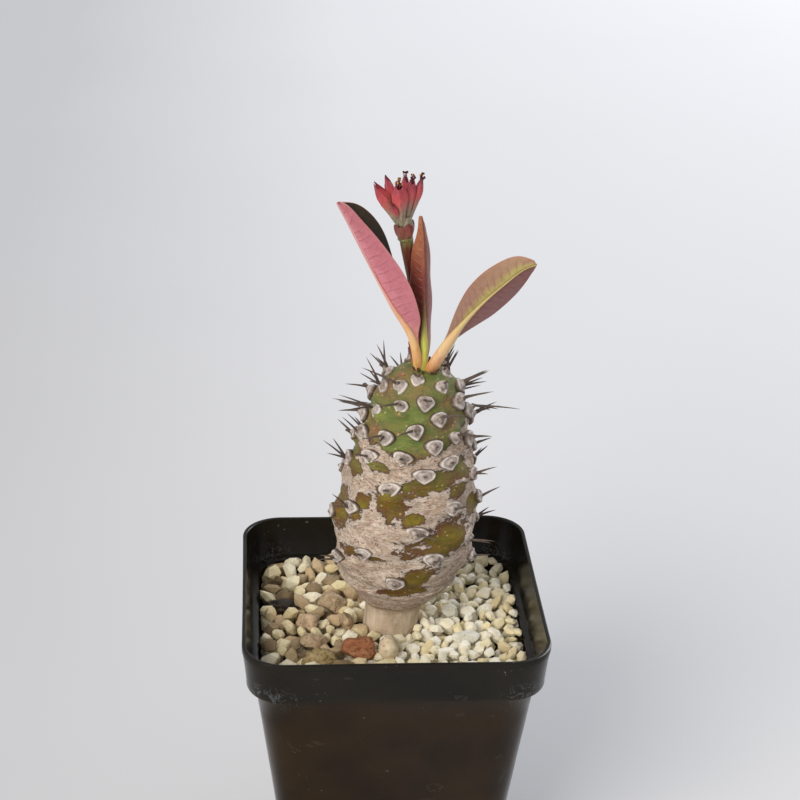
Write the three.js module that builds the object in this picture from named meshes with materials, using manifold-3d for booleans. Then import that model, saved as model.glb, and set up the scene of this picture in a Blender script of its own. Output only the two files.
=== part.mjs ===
// A small potted euphorbia: a spiny, corky stem with three leaves and a cluster of cyathia
// on one stalk, rooted in soil under a bed of pumice grains, in a square nursery pot.
// Millimetres, +Z up, origin at the middle of the pot's underside.
import * as THREE from "three";
import { mergeVertices } from "three/addons/utils/BufferGeometryUtils.js";
import Module from "manifold-3d";

const wasm = await Module();
wasm.setup();

// ---------------------------------------------------------------- driving dimensions
const GAP = 0.3; // clearance between two pieces that touch

const POT_WIDTH = 70; // across the flats, outside of the rim
const POT_HEIGHT = 76;
const POT_CORNER = 9.5; // plan radius of the rim's corner
const POT_WALL = 1;
const POT_FLOOR = 1.6;
const RIM_HEIGHT = 10.7; // the band round the top
const RIM_DRAFT = 1; // how much narrower the band is at its lower edge, each side
const LEDGE = 1.9; // how far the band stands out of the body
const BODY_DRAFT = 0.127; // how much each side leans in, per mm of height
const DRAIN_DIAMETER = 3.5;
const DRAIN_CIRCLE = 12; // from the middle of the floor to each drain hole

const HEADSPACE = 11; // from the rim down to the top of the gravel bed
const GRAVEL_DEPTH = 7;

const NECK_RADIUS = 6.2; // where the stem leaves the gravel
const STEM_RADIUS = 16.7; // at the widest
const STEM_HEIGHT = 57; // from the rim to the crown
const WAIST_HEIGHT = 20; // from the rim to the widest place
const STEM_LEAN = 0.072; // sideways shift per mm of height
const NECK_SHIFT = 0.9; // the neck's step to the side, under the waist
const NECK_HEIGHT = 15; // above the gravel, where that step ends
const ROOT_LENGTH = 16;

const SHIELD_FIRST = 8; // the youngest shield that has a node, counted from the crown
const SHIELD_COUNT = 30;
const SHIELD_RADIUS = 1.75;
const SHIELD_HEIGHT = 0.9;
const SPINE_LENGTH = 6.5;
const SPINE_RADIUS = 0.34;
const DIVERGENCE = 137.72; // degrees round the stem from one shield to the next
const SHIELD_START = -22.8; // bearing of shield 0, in degrees
const SHIELD_TOP = 0.3; // shield 0 below the crown
const YOUNG_PITCH = 0.466; // drop per shield on the young growth
const OLD_PITCH = 1.078; // drop per shield on the old growth
const YOUNG_SHIELDS = 45;

const LEAF_THICKNESS = 0.6;
const STALK_RADIUS = 0.9;
const STALK_HEIGHT = 30; // from the crown to the flower cup
const CUP_RADIUS = 1.9;
const CUP_HEIGHT = 4.2;
const CYATHIUM_RADIUS = 1.15;
const FOOT_SHARE = 0.25; // how far out a cyathium's foot is, as a share of its tip's offset

// ---------------------------------------------------------------- derived places
const GRAVEL_TOP = POT_HEIGHT - HEADSPACE;
const GRAVEL_BOTTOM = GRAVEL_TOP - GRAVEL_DEPTH;
const RIM_BOTTOM = POT_HEIGHT - RIM_HEIGHT;
const RIM_HALF = POT_WIDTH / 2;
const BAND_FOOT = RIM_HALF - RIM_DRAFT; // half the width at the band's lower edge
const BODY_HALF = BAND_FOOT - LEDGE; // half the width of the body under the band
const BASE_HALF = BODY_HALF - BODY_DRAFT * RIM_BOTTOM;
const CROWN_Z = POT_HEIGHT + STEM_HEIGHT;
const NECK_Z = POT_HEIGHT - HEADSPACE;
const neckStep = (z) => THREE.MathUtils.smoothstep(z, GRAVEL_TOP, GRAVEL_TOP + NECK_HEIGHT);
// Middle of the stem at a height.
const stemX = (z) => STEM_LEAN * (z - GRAVEL_TOP) + NECK_SHIFT * neckStep(z);

const MATERIALS = {
  plastic: new THREE.MeshStandardMaterial({ color: "#26231f", roughness: 0.55 }),
  soil: new THREE.MeshStandardMaterial({ color: "#3a2a1e", roughness: 1 }),
  pumice: new THREE.MeshStandardMaterial({ color: "#cbbd9f", roughness: 0.95 }),
  tan: new THREE.MeshStandardMaterial({ color: "#a98d6c", roughness: 0.9 }),
  lava: new THREE.MeshStandardMaterial({ color: "#9c5840", roughness: 0.9 }),
  bark: new THREE.MeshStandardMaterial({ color: "#3b2a1f", roughness: 0.9 }),
  skin: new THREE.MeshStandardMaterial({ color: "#8b8264", roughness: 0.8 }),
  spine: new THREE.MeshStandardMaterial({ color: "#8f8580", roughness: 0.7 }),
  leaf: new THREE.MeshStandardMaterial({ color: "#b5636c", roughness: 0.5 }),
  stalk: new THREE.MeshStandardMaterial({ color: "#6e2a1c", roughness: 0.6 }),
  flower: new THREE.MeshStandardMaterial({ color: "#c44552", roughness: 0.6 }),
};

const part = new THREE.Group();

function addNode(name, geometry, material) {
  const mesh = new THREE.Mesh(geometry, material);
  mesh.name = name;
  part.add(mesh);
  return mesh;
}

// ---------------------------------------------------------------- solids
function toSolid(geometry) {
  const bare = geometry.clone();
  bare.deleteAttribute("normal");
  bare.deleteAttribute("uv");
  const merged = mergeVertices(bare, 1e-4);
  return new wasm.Manifold(
    new wasm.Mesh({
      numProp: 3,
      vertProperties: merged.attributes.position.array,
      triVerts: new Uint32Array(merged.index.array),
    }),
  );
}

function toGeometry(solid) {
  const mesh = solid.getMesh();
  const geometry = new THREE.BufferGeometry();
  geometry.setAttribute("position", new THREE.BufferAttribute(mesh.vertProperties, 3));
  geometry.setIndex(new THREE.BufferAttribute(mesh.triVerts, 1));
  geometry.computeVertexNormals();
  return geometry;
}

const cut = (geometry, ...tools) =>
  toGeometry(tools.reduce((left, tool) => left.subtract(toSolid(tool)), toSolid(geometry)));
const join = (...geometries) =>
  toGeometry(geometries.map(toSolid).reduce((left, solid) => left.add(solid)));

// Moves every vertex of a geometry to where place(x, y, z) says.
function warp(geometry, place) {
  const position = geometry.attributes.position;
  for (let i = 0; i < position.count; i++) {
    const moved = place(position.getX(i), position.getY(i), position.getZ(i));
    position.setXYZ(i, moved.x, moved.y, moved.z);
  }
  geometry.computeVertexNormals();
  return geometry;
}

// A profile of [radius, z] points turned about the Z axis, from the axis back to the axis.
function turned(profile, sides) {
  const points = profile.map(([radius, z]) => new THREE.Vector2(radius, z));
  return new THREE.LatheGeometry(points, sides).rotateX(Math.PI / 2);
}

// Turns a round lathe into a square one with rounded corners. The bearings are drawn
// towards the corners, where the outline bends.
function squared(geometry) {
  return warp(geometry, (x, y, z) => {
    const half = Math.hypot(x, y);
    if (half < 1e-6) return new THREE.Vector3(0, 0, z);
    const round = Math.atan2(y, x);
    const bearing = round + 0.18 * Math.sin(4 * round);
    const c = Math.abs(Math.cos(bearing));
    const s = Math.abs(Math.sin(bearing));
    const corner = Math.min(POT_CORNER - (RIM_HALF - half) * 0.35, half * 0.9);
    const flat = half - corner;
    let reach = half / Math.max(c, s);
    if (reach * Math.min(c, s) > flat) {
      const along = (c + s) * flat;
      reach = along + Math.sqrt(along * along - 2 * flat * flat + corner * corner);
    }
    return new THREE.Vector3(reach * Math.cos(bearing), reach * Math.sin(bearing), z);
  });
}

// ---------------------------------------------------------------- pot, soil and gravel
const bodyHalf = (z) => BASE_HALF + BODY_DRAFT * z; // outside of the body at a height
const POT_SIDES = 48;

function potShell() {
  const lip = POT_WALL / 2;
  const innerLedge = RIM_BOTTOM + POT_WALL;
  const profile = [
    [0, 0],
    [BASE_HALF - 1, 0],
    [BASE_HALF, 1],
    [BODY_HALF, RIM_BOTTOM],
    [BAND_FOOT - 0.4, RIM_BOTTOM],
    [BAND_FOOT, RIM_BOTTOM + 0.5],
    [RIM_HALF, POT_HEIGHT - lip],
    [RIM_HALF - lip, POT_HEIGHT],
    [RIM_HALF - POT_WALL, POT_HEIGHT - lip],
    [BAND_FOOT - POT_WALL, innerLedge + lip],
    [BODY_HALF - POT_WALL, innerLedge],
    [bodyHalf(POT_FLOOR) - POT_WALL, POT_FLOOR],
    [0, POT_FLOOR],
  ];
  const drains = [];
  for (let i = 0; i < 8; i++) {
    const bearing = (i * Math.PI) / 4;
    const reach = DRAIN_CIRCLE * (i % 2 ? Math.SQRT2 : 1);
    const drain = new THREE.CylinderGeometry(
      DRAIN_DIAMETER / 2, DRAIN_DIAMETER / 2, POT_FLOOR * 3, 12,
    );
    drain.rotateX(Math.PI / 2);
    drain.translate(reach * Math.cos(bearing), reach * Math.sin(bearing), POT_FLOOR / 2);
    drains.push(drain);
  }
  return cut(squared(turned(profile, POT_SIDES)), ...drains);
}

// A block that fills the body of the pot between two heights, clear of the wall.
function fill(bottom, top) {
  const inner = (z) => bodyHalf(z) - POT_WALL - GAP;
  const profile = [
    [0, bottom],
    [inner(bottom), bottom],
    [inner(top), top],
    [0, top],
  ];
  return squared(turned(profile, POT_SIDES));
}

// ---------------------------------------------------------------- stem
// Half the stem's width from the root tip to the crown, as [radius, z].
function stemProfile(grow) {
  const above = (share) => NECK_Z + (CROWN_Z - NECK_Z) * share;
  const waist = (POT_HEIGHT + WAIST_HEIGHT - NECK_Z) / (CROWN_Z - NECK_Z);
  const outline = new THREE.SplineCurve([
    new THREE.Vector2(NECK_RADIUS * 0.35, NECK_Z - ROOT_LENGTH),
    new THREE.Vector2(NECK_RADIUS * 0.85, NECK_Z - ROOT_LENGTH * 0.5),
    new THREE.Vector2(NECK_RADIUS, NECK_Z),
    new THREE.Vector2(NECK_RADIUS * 1.16, above(waist * 0.2)),
    new THREE.Vector2(STEM_RADIUS * 0.66, above(waist * 0.37)),
    new THREE.Vector2(STEM_RADIUS * 0.86, above(waist * 0.57)),
    new THREE.Vector2(STEM_RADIUS * 0.97, above(waist * 0.8)),
    new THREE.Vector2(STEM_RADIUS, above(waist)),
    new THREE.Vector2(STEM_RADIUS * 0.955, above(waist + (1 - waist) * 0.2)),
    new THREE.Vector2(STEM_RADIUS * 0.865, above(waist + (1 - waist) * 0.4)),
    new THREE.Vector2(STEM_RADIUS * 0.745, above(waist + (1 - waist) * 0.6)),
    new THREE.Vector2(STEM_RADIUS * 0.635, above(waist + (1 - waist) * 0.78)),
    new THREE.Vector2(STEM_RADIUS * 0.45, above(waist + (1 - waist) * 0.93)),
    new THREE.Vector2(STEM_RADIUS * 0.2, CROWN_Z - 0.4),
  ]);
  const points = outline.getPoints(28).map((p) => [p.x + grow, p.y]);
  const foot = NECK_Z - ROOT_LENGTH - grow;
  return [[0, foot], ...points, [0, CROWN_Z + grow]];
}

function stemSolid(grow = 0) {
  const round = turned(stemProfile(grow), 28);
  return warp(round, (x, y, z) => new THREE.Vector3(x + stemX(z), y, z));
}

// The stem's radius at a height, between the points of its outline.
function stemRadius(z) {
  const points = stemProfile(0);
  const upper = points.findIndex((p) => p[1] > z);
  const [r0, z0] = points[upper - 1];
  const [r1, z1] = points[upper];
  return r0 + ((r1 - r0) * (z - z0)) / (z1 - z0);
}

// ---------------------------------------------------------------- spine shields
// Shields wind down from the crown, each one the same turn on from the last. The drop from
// one to the next is small on the young growth and larger on the old.
function shieldPlace(index) {
  const bearing = THREE.MathUtils.degToRad(SHIELD_START + DIVERGENCE * index);
  const young = Math.min(index, YOUNG_SHIELDS) * YOUNG_PITCH;
  const old = Math.max(index - YOUNG_SHIELDS, 0) * OLD_PITCH;
  const z = CROWN_Z - SHIELD_TOP - young - old;
  const radius = stemRadius(z);
  const slope = Math.atan2(stemRadius(z - 1) - stemRadius(z + 1), 2);
  const outward = new THREE.Vector3(
    Math.cos(bearing) * Math.cos(slope),
    Math.sin(bearing) * Math.cos(slope),
    Math.sin(slope),
  );
  const seat = new THREE.Vector3(
    stemX(z) + radius * Math.cos(bearing), radius * Math.sin(bearing), z,
  );
  return { seat, outward };
}

// A low oval boss with two tapering spines that spread to either side and point upwards.
function shieldSolid(index, skin) {
  const { seat, outward } = shieldPlace(index);
  const boss = new THREE.SphereGeometry(1, 8, 4);
  boss.scale(SHIELD_RADIUS * 1.15, SHIELD_RADIUS, SHIELD_HEIGHT + GAP);
  const spines = [-1, 1].map((side) => {
    const length = SPINE_LENGTH * (0.85 + 0.15 * Math.cos(index * 2.4 + side));
    const spine = new THREE.CylinderGeometry(0.07, SPINE_RADIUS, length, 5);
    spine.rotateX(Math.PI / 2);
    spine.translate(0, 0, length / 2);
    spine.rotateY(side * 0.26);
    spine.rotateX(-0.2);
    return spine.translate(side * SPINE_RADIUS * 1.2, 0, SHIELD_HEIGHT * 0.5);
  });
  const piece = join(boss, ...spines);
  const across = new THREE.Vector3(-outward.y, outward.x, 0).normalize();
  const upward = outward.clone().cross(across);
  const turn = new THREE.Matrix4().makeBasis(across, upward, outward);
  piece.applyMatrix4(turn.setPosition(seat));
  return toGeometry(toSolid(piece).subtract(skin));
}

// ---------------------------------------------------------------- leaves
// A leaf folded along its midrib. The midrib is a curve; each half leaves it in its own
// direction; the blade starts at the share "petiole" of the length.
function leafSolid({ midrib, left, right, halfWidth, petiole, stalkHalf }) {
  const curve = new THREE.CatmullRomCurve3(midrib.map((p) => new THREE.Vector3(...p)));
  const blade = (u) =>
    u < petiole ? 0 : Math.sin(Math.PI * ((u - petiole) / (1 - petiole)) ** 1.2) ** 0.85;
  const halves = [new THREE.Vector3(...left), new THREE.Vector3(...right)];
  halves.forEach((half) => half.normalize());
  const acrossAll = halves[1].clone().sub(halves[0]).normalize();
  return warp(new THREE.BoxGeometry(2, 1, 1, 4, 1, 14), (across, through, along) => {
    const u = along + 0.5;
    const width = stalkHalf + (halfWidth - stalkHalf) * Math.max(blade(u), 0);
    const thick = LEAF_THICKNESS * (1 + 1.2 * Math.max(0, 1 - u / petiole));
    const normal = curve.getTangentAt(u).cross(acrossAll).normalize();
    return curve
      .getPointAt(u)
      .addScaledVector(across < 0 ? halves[0] : halves[1], Math.abs(across) * width)
      .addScaledVector(normal, through * thick);
  });
}

const LEAVES = {
  left_leaf: {
    midrib: [[3.9, -1.1, -1.2], [4.1, -2.9, 5], [-1.3, -5, 16.2], [-6.8, -5.5, 26.7], [-13.8, -5.5, 40.5]],
    left: [0.48, 0.87, 0.1],
    right: [0.97, -0.2, 0.15],
    halfWidth: 6.9, petiole: 0.2, stalkHalf: 0.8,
  },
  middle_leaf: {
    midrib: [[6.2, -1.5, -1.2], [6.2, -2, 5], [5.9, -2, 16.6], [5.4, -2, 26.5], [4.5, -2, 36.3]],
    left: [-0.86, 0.5, 0],
    right: [0.45, 0.89, 0],
    halfWidth: 3.7, petiole: 0.16, stalkHalf: 0.7,
  },
  right_leaf: {
    midrib: [[7.9, -0.6, -1.4], [9.3, -5.2, 6.3], [17, -12, 20.4], [21.5, -15, 26.1], [27.8, -18, 31.2]],
    left: [-0.6, 0.23, 0.75],
    right: [0.6, 0.5, -0.62],
    halfWidth: 5.8, petiole: 0.26, stalkHalf: 1,
  },
  bud_leaf: {
    midrib: [[4.4, 1.3, -1], [3.7, 1.7, 2.5], [3.1, 1.9, 4.6]],
    left: [-0.3, 1, 0],
    right: [1, 0.3, 0],
    halfWidth: 1, petiole: 0.1, stalkHalf: 0.4,
  },
};

// ---------------------------------------------------------------- stalk and flower head
// Where the stalk ends and the cup begins, measured from the crown.
const CUP_FOOT = new THREE.Vector3(1.7, 1.2, CROWN_Z + STALK_HEIGHT);

function stalkSolid() {
  const route = new THREE.CatmullRomCurve3([
    new THREE.Vector3(6.4, 1.5, CROWN_Z - 1.2),
    new THREE.Vector3(5.4, 1.5, CROWN_Z + STALK_HEIGHT * 0.2),
    new THREE.Vector3(3.4, 1.3, CROWN_Z + STALK_HEIGHT * 0.6),
    new THREE.Vector3(CUP_FOOT.x, CUP_FOOT.y, CUP_FOOT.z - GAP),
  ]);
  const section = new THREE.Shape().absarc(0, 0, STALK_RADIUS, 0, Math.PI * 2);
  return new THREE.ExtrudeGeometry(section, {
    steps: 10, curveSegments: 6, extrudePath: route,
  });
}

function cupSolid() {
  const profile = [
    [0, 0],
    [STALK_RADIUS * 0.9, 0],
    [CUP_RADIUS * 0.95, CUP_HEIGHT * 0.3],
    [CUP_RADIUS, CUP_HEIGHT * 0.8],
    [CUP_RADIUS * 0.8, CUP_HEIGHT],
    [0, CUP_HEIGHT],
  ];
  return turned(profile, 16).translate(...CUP_FOOT);
}

// Each cyathium's tip, measured from the middle of the cup's top.
const CYATHIA = [
  [-6.3, -2, 10.4],
  [-4.1, 2, 10],
  [-1.6, -3, 11],
  [-0.2, 3.8, 9.6],
  [0.9, -0.9, 10.6],
  [3.6, 1, 10.2],
  [-4.2, -5.2, 5.4],
];

function cyathiumSolid([x, y, z]) {
  const top = new THREE.Vector3(CUP_FOOT.x - 0.7, CUP_FOOT.y - 0.2, CUP_FOOT.z + CUP_HEIGHT);
  const foot = top.clone().add(new THREE.Vector3(x * FOOT_SHARE, y * FOOT_SHARE, GAP));
  const tip = top.clone().add(new THREE.Vector3(x, y, z));
  const length = foot.distanceTo(tip);
  const profile = [
    [0, 0],
    [CYATHIUM_RADIUS * 0.35, 0],
    [CYATHIUM_RADIUS * 0.8, length * 0.4],
    [CYATHIUM_RADIUS, length * 0.72],
    [CYATHIUM_RADIUS * 0.75, length * 0.95],
    [0, length],
  ];
  const direction = tip.sub(foot).normalize();
  const upright = new THREE.Quaternion().setFromUnitVectors(new THREE.Vector3(0, 0, 1), direction);
  return turned(profile, 10).applyQuaternion(upright).translate(...foot);
}

// ---------------------------------------------------------------- loose stones
// Each stone lies on the gravel bed: its middle in plan, its three sizes and its bearing.
const STONES = {
  lava_stone: [-7.8, -14.6, 7.6, 6, 5.6, 10, "lava"],
  oval_pebble: [-1.2, -15.2, 4.4, 5, 5.4, 0, "tan"],
  leaning_sliver: [-10.4, -2.2, 2.6, 4, 5, 15, "tan"],
  tan_stone: [-19.4, -1.8, 6.6, 5.6, 4.4, 20, "tan"],
  angular_stone: [-13.6, 6.4, 6.6, 6, 5, -15, "tan"],
  rough_stone: [-17, -18.4, 7.6, 6, 4.6, 5, "tan"],
  long_stone: [-18.4, -10.2, 7.4, 3.8, 3.8, 35, "tan"],
  white_stone: [14.6, 2.6, 4.8, 3.6, 3.4, -20, "pumice"],
  flat_white_stone: [17.4, -8.3, 6.6, 3.6, 2.8, -25, "pumice"],
  bark_chip: [-25, 8, 7.6, 4.4, 1.8, 25, "bark"],
};

function stoneSolid([x, y, length, width, height, bearing], index) {
  const ball = new THREE.IcosahedronGeometry(0.5, 1);
  warp(ball, (px, py, pz) => {
    const lump = 1 + 0.06 * Math.sin(7 * px + index) * Math.cos(6 * py - index);
    return new THREE.Vector3(px * length * lump, py * width * lump, pz * height);
  });
  ball.rotateZ(THREE.MathUtils.degToRad(bearing));
  return ball.translate(x, y, GRAVEL_TOP + GAP + height / 2);
}

// ---------------------------------------------------------------- assembly
const socket = stemSolid(GAP);
const skin = toSolid(socket);

addNode("pot", potShell(), MATERIALS.plastic);
addNode("soil", cut(fill(POT_FLOOR + GAP, GRAVEL_BOTTOM - GAP), socket), MATERIALS.soil);
addNode("gravel_bed", cut(fill(GRAVEL_BOTTOM, GRAVEL_TOP), socket), MATERIALS.pumice);
addNode("stem", stemSolid(), MATERIALS.skin);

Object.entries(STONES).forEach(([name, stone], index) => {
  addNode(name, stoneSolid(stone, index), MATERIALS[stone[6]]);
});

for (let i = 0; i < SHIELD_COUNT; i++) {
  const name = `spine_shield_${String(i + 1).padStart(2, "0")}`;
  addNode(name, shieldSolid(SHIELD_FIRST + i, skin), MATERIALS.spine);
}

for (const [name, leaf] of Object.entries(LEAVES)) {
  const midrib = leaf.midrib.map(([x, y, z]) => [x, y, z + CROWN_Z]);
  addNode(name, cut(leafSolid({ ...leaf, midrib }), socket), MATERIALS.leaf);
}

addNode("flower_stalk", cut(stalkSolid(), socket), MATERIALS.stalk);
addNode("flower_cup", cupSolid(), MATERIALS.stalk);
CYATHIA.forEach((tip, i) => addNode(`cyathium_${i + 1}`, cyathiumSolid(tip), MATERIALS.flower));

export default part;
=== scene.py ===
import bisect
import functools
import math
import random

import bmesh
import bpy
from mathutils import Matrix, Quaternion, Vector, noise
from mathutils.bvhtree import BVHTree


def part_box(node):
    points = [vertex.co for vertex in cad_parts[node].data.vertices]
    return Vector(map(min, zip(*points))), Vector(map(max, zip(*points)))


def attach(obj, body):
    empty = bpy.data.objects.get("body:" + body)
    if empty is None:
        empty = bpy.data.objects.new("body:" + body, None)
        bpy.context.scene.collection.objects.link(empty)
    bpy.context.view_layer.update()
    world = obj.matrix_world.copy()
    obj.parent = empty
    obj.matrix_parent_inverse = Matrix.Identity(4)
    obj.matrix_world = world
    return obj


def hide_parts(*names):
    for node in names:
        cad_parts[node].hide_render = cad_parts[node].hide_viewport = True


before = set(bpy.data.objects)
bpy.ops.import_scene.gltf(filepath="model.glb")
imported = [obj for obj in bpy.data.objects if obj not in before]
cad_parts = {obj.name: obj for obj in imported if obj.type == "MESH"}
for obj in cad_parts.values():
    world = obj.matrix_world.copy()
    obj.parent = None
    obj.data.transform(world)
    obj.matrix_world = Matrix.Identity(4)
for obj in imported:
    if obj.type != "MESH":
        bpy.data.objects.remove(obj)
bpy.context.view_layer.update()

MM = 0.001

# ------------------------------------------------------------------ places from the frame
_, POT_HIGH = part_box("pot")
BED_LOW, BED_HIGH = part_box("gravel_bed")
STEM_LOW, STEM_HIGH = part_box("stem")

RIM_HALF = POT_HIGH[0] / MM  # half the pot's width over the rim, mm
POT_HEIGHT = POT_HIGH[2] / MM
BED_TOP = BED_HIGH[2] / MM
CROWN = STEM_HIGH[2] / MM

# The pot's own sizes, mm.
WALL = 1.0
RIM_HEIGHT = 10.7
RIM_DRAFT = 1.0
LEDGE = 1.9
BODY_DRAFT = 0.127
FLOOR = 1.6
PLAN_CORNER = 9.5
DRAIN_RADIUS = 1.75
DRAIN_CIRCLE = 12.0
RIM_BOTTOM = POT_HEIGHT - RIM_HEIGHT
BAND_FOOT = RIM_HALF - RIM_DRAFT
BODY_TOP = BAND_FOOT - LEDGE
BASE_HALF = BODY_TOP - BODY_DRAFT * RIM_BOTTOM

# Seeds of the random draws.
GRAIN_SEED = 7
POUR_SEED = 21
FLOWER_SEED = 50
STUB_SEED = 77
SHIELD_SEED = 1000

# The stem's sizes, mm, and the spiral of its shields.
STEM_LEAN = 0.072
NECK_SHIFT = 0.9
NECK_HEIGHT = 15.0
DIVERGENCE = math.radians(137.72)
SHIELD_START = math.radians(-22.8)
YOUNG_PITCH = 0.466
OLD_PITCH = 1.078
YOUNG_SHIELDS = 45
SHIELDS = 73
FIRST_NODE = 8  # the first shield that replaces a node
NODE_SHIELDS = 30  # how many of them do


def ease(low, high, value):
    """0 below low, 1 above high, smooth between."""
    t = min(max((value - low) / (high - low), 0.0), 1.0)
    return t * t * (3 - 2 * t)


def stem_x(z):
    """Middle of the stem at a height, mm."""
    return STEM_LEAN * (z - BED_TOP) + NECK_SHIFT * ease(BED_TOP, BED_TOP + NECK_HEIGHT, z)


# ------------------------------------------------------------------ colours and nodes
def hex_colour(text):
    """An sRGB hex value as a linear colour."""
    parts = [int(text[i : i + 2], 16) / 255 for i in (1, 3, 5)]
    linear = [c / 12.92 if c <= 0.04045 else ((c + 0.055) / 1.055) ** 2.4 for c in parts]
    return (*linear, 1.0)


def per_mm(size):
    """The scale that makes one cell of a pattern this many millimetres across."""
    return 1 / (size * MM)


def wire(node, inputs):
    """Set a node's inputs, by name or number, to a value, a hex colour or another node's output."""
    for key, value in inputs.items():
        if isinstance(value, bpy.types.NodeSocket):
            node.id_data.links.new(value, node.inputs[key])
        else:
            node.inputs[key].default_value = hex_colour(value) if isinstance(value, str) else value


def add_node(material, kind, inputs=None, stops=(), output=0, **settings):
    """Add a node with its settings and links; a ramp's stops are (place, hex colour)."""
    made = material.node_tree.nodes.new("ShaderNode" + kind)
    if kind == "Mix":
        made.data_type, output = "RGBA", 2
    for option, value in settings.items():
        setattr(made, option, value)
    for place, colour in stops[2:]:
        made.color_ramp.elements.new(place)
    for index, (place, colour) in enumerate(stops):
        made.color_ramp.elements[index].position = place
        made.color_ramp.elements[index].color = hex_colour(colour)
    wire(made, inputs or {})
    return made.outputs[output]


def new_material(name, **settings):
    """A Principled material, its shader, its Object coordinates, and add_node for it."""
    material = bpy.data.materials.new(name)
    material.use_nodes = True
    shader = material.node_tree.nodes["Principled BSDF"]
    wire(shader, {key.replace("_", " "): value for key, value in settings.items()})
    add = functools.partial(add_node, material)
    return material, shader, add("TexCoord", output="Object"), add


def wavered(add, value, grain, reach):
    """A value pushed up and down by a grain that swings about one half."""
    swing = add("Math", {0: grain, 1: 0.5}, operation="SUBTRACT")
    return add("Math", {0: swing, 1: reach, 2: value}, operation="MULTIPLY_ADD")


def stained(add, colour, mask, stain, share):
    """A colour stained by another where the mask is bright, by at most this share."""
    mask = add("Math", {0: mask, 1: share}, operation="MULTIPLY")
    return add("Mix", {0: mask, 6: colour, 7: stain})


def grained(add, colour, grain, low, high, share):
    """A colour darkened and lightened by a grain, between two greys laid over it."""
    shade = add("ValToRGB", {0: grain}, [(0.3, low), (0.7, high)])
    return add("Mix", {0: share, 6: colour, 7: shade}, blend_type="OVERLAY")


# ------------------------------------------------------------------ modelling helpers
def make_active(obj):
    bpy.ops.object.select_all(action="DESELECT")
    obj.select_set(True)
    bpy.context.view_layer.objects.active = obj


def apply_modifiers(obj):
    make_active(obj)
    for modifier in list(obj.modifiers):
        bpy.ops.object.modifier_apply(modifier=modifier.name)


def apply_place(obj):
    make_active(obj)
    bpy.ops.object.transform_apply(location=True, rotation=True, scale=True)


def mesh_object(name, points, faces):
    """A new mesh object from points in metres."""
    mesh = bpy.data.meshes.new(name)
    mesh.from_pydata(points, [], faces)
    mesh.validate()
    obj = bpy.data.objects.new(name, mesh)
    bpy.context.collection.objects.link(obj)
    return obj


def smooth_by_angle(obj, degrees=35):
    make_active(obj)
    bpy.ops.object.shade_smooth_by_angle(angle=math.radians(degrees))


def smooth_all(obj):
    make_active(obj)
    bpy.ops.object.shade_smooth()


def finish_piece(obj, name, materials, nodes=()):
    """Name a piece, give it its materials, and tie it to the frame."""
    obj.name = name
    obj.data.name = name
    if list(obj.data.materials) != list(materials):
        obj.data.materials.clear()
        for material in materials:
            obj.data.materials.append(material)
    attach(obj, "root")
    if nodes:
        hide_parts(*nodes)
    return obj


def smooth_value(points, at):
    """A value on the smooth curve through (place, value) points, by Catmull-Rom."""
    places = [p[0] for p in points]
    at = min(max(at, places[0]), places[-1])
    i = min(max(bisect.bisect_right(places, at) - 1, 0), len(points) - 2)
    (x0, y0), (x1, y1) = points[i], points[i + 1]
    before = points[i - 1] if i else (x0 - (x1 - x0), y0)
    after = points[i + 2] if i + 2 < len(points) else (x1 + (x1 - x0), y1)
    t = (at - x0) / (x1 - x0)
    m0 = (y1 - before[1]) / (x1 - before[0]) * (x1 - x0)
    m1 = (after[1] - y0) / (after[0] - x0) * (x1 - x0)
    return (
        (2 * t**3 - 3 * t**2 + 1) * y0
        + (t**3 - 2 * t**2 + t) * m0
        + (-2 * t**3 + 3 * t**2) * y1
        + (t**3 - t**2) * m1
    )


def smooth_place(points, share):
    """A point at a share of the length of the smooth curve through points."""
    steps = [0.0]
    for a, b in zip(points, points[1:]):
        steps.append(steps[-1] + (Vector(b) - Vector(a)).length)
    at = share * steps[-1]
    return Vector([smooth_value([(s, p[k]) for s, p in zip(steps, points)], at) for k in range(3)])


def wall_faces(start, rows, around):
    """Quads between the rows of a wall, where each row of points runs once round it."""
    faces = []
    for row in range(start, start + rows * around, around):
        for k in range(around):
            a, b = row + k, row + (k + 1) % around
            faces.append((a, b, b + around, a + around))
    return faces


def tube(name, route, radii, sides=12, flat=1.0):
    """A closed tube along a smooth route in mm, its radius running through radii."""
    count = 6 * (len(route) - 1)
    points = []
    side = Vector((1, 0.2, 0))
    for i in range(count + 1):
        share = i / count
        here = smooth_place(route, share)
        ahead = smooth_place(route, min(share + 0.02, 1.0)) - smooth_place(route, max(share - 0.02, 0))
        ahead.normalize()
        side = (side - ahead * side.dot(ahead)).normalized()
        across = ahead.cross(side)
        radius = smooth_value([(k / (len(radii) - 1), r) for k, r in enumerate(radii)], share)
        for k in range(sides):
            turn = 2 * math.pi * k / sides
            rim = side * math.cos(turn) + across * flat * math.sin(turn)
            points.append((here + rim * radius) * MM)
    faces = wall_faces(0, count, sides)
    faces.append(tuple(reversed(range(sides))))
    faces.append(tuple(range(count * sides, (count + 1) * sides)))
    return mesh_object(name, points, faces)


def join_into(target, *others):
    make_active(target)
    for other in others:
        other.select_set(True)
    bpy.ops.object.join()
    return target


def set_attribute(obj, name, values):
    layer = obj.data.attributes.new(name, "FLOAT", "POINT")
    layer.data.foreach_set("value", values)


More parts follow.
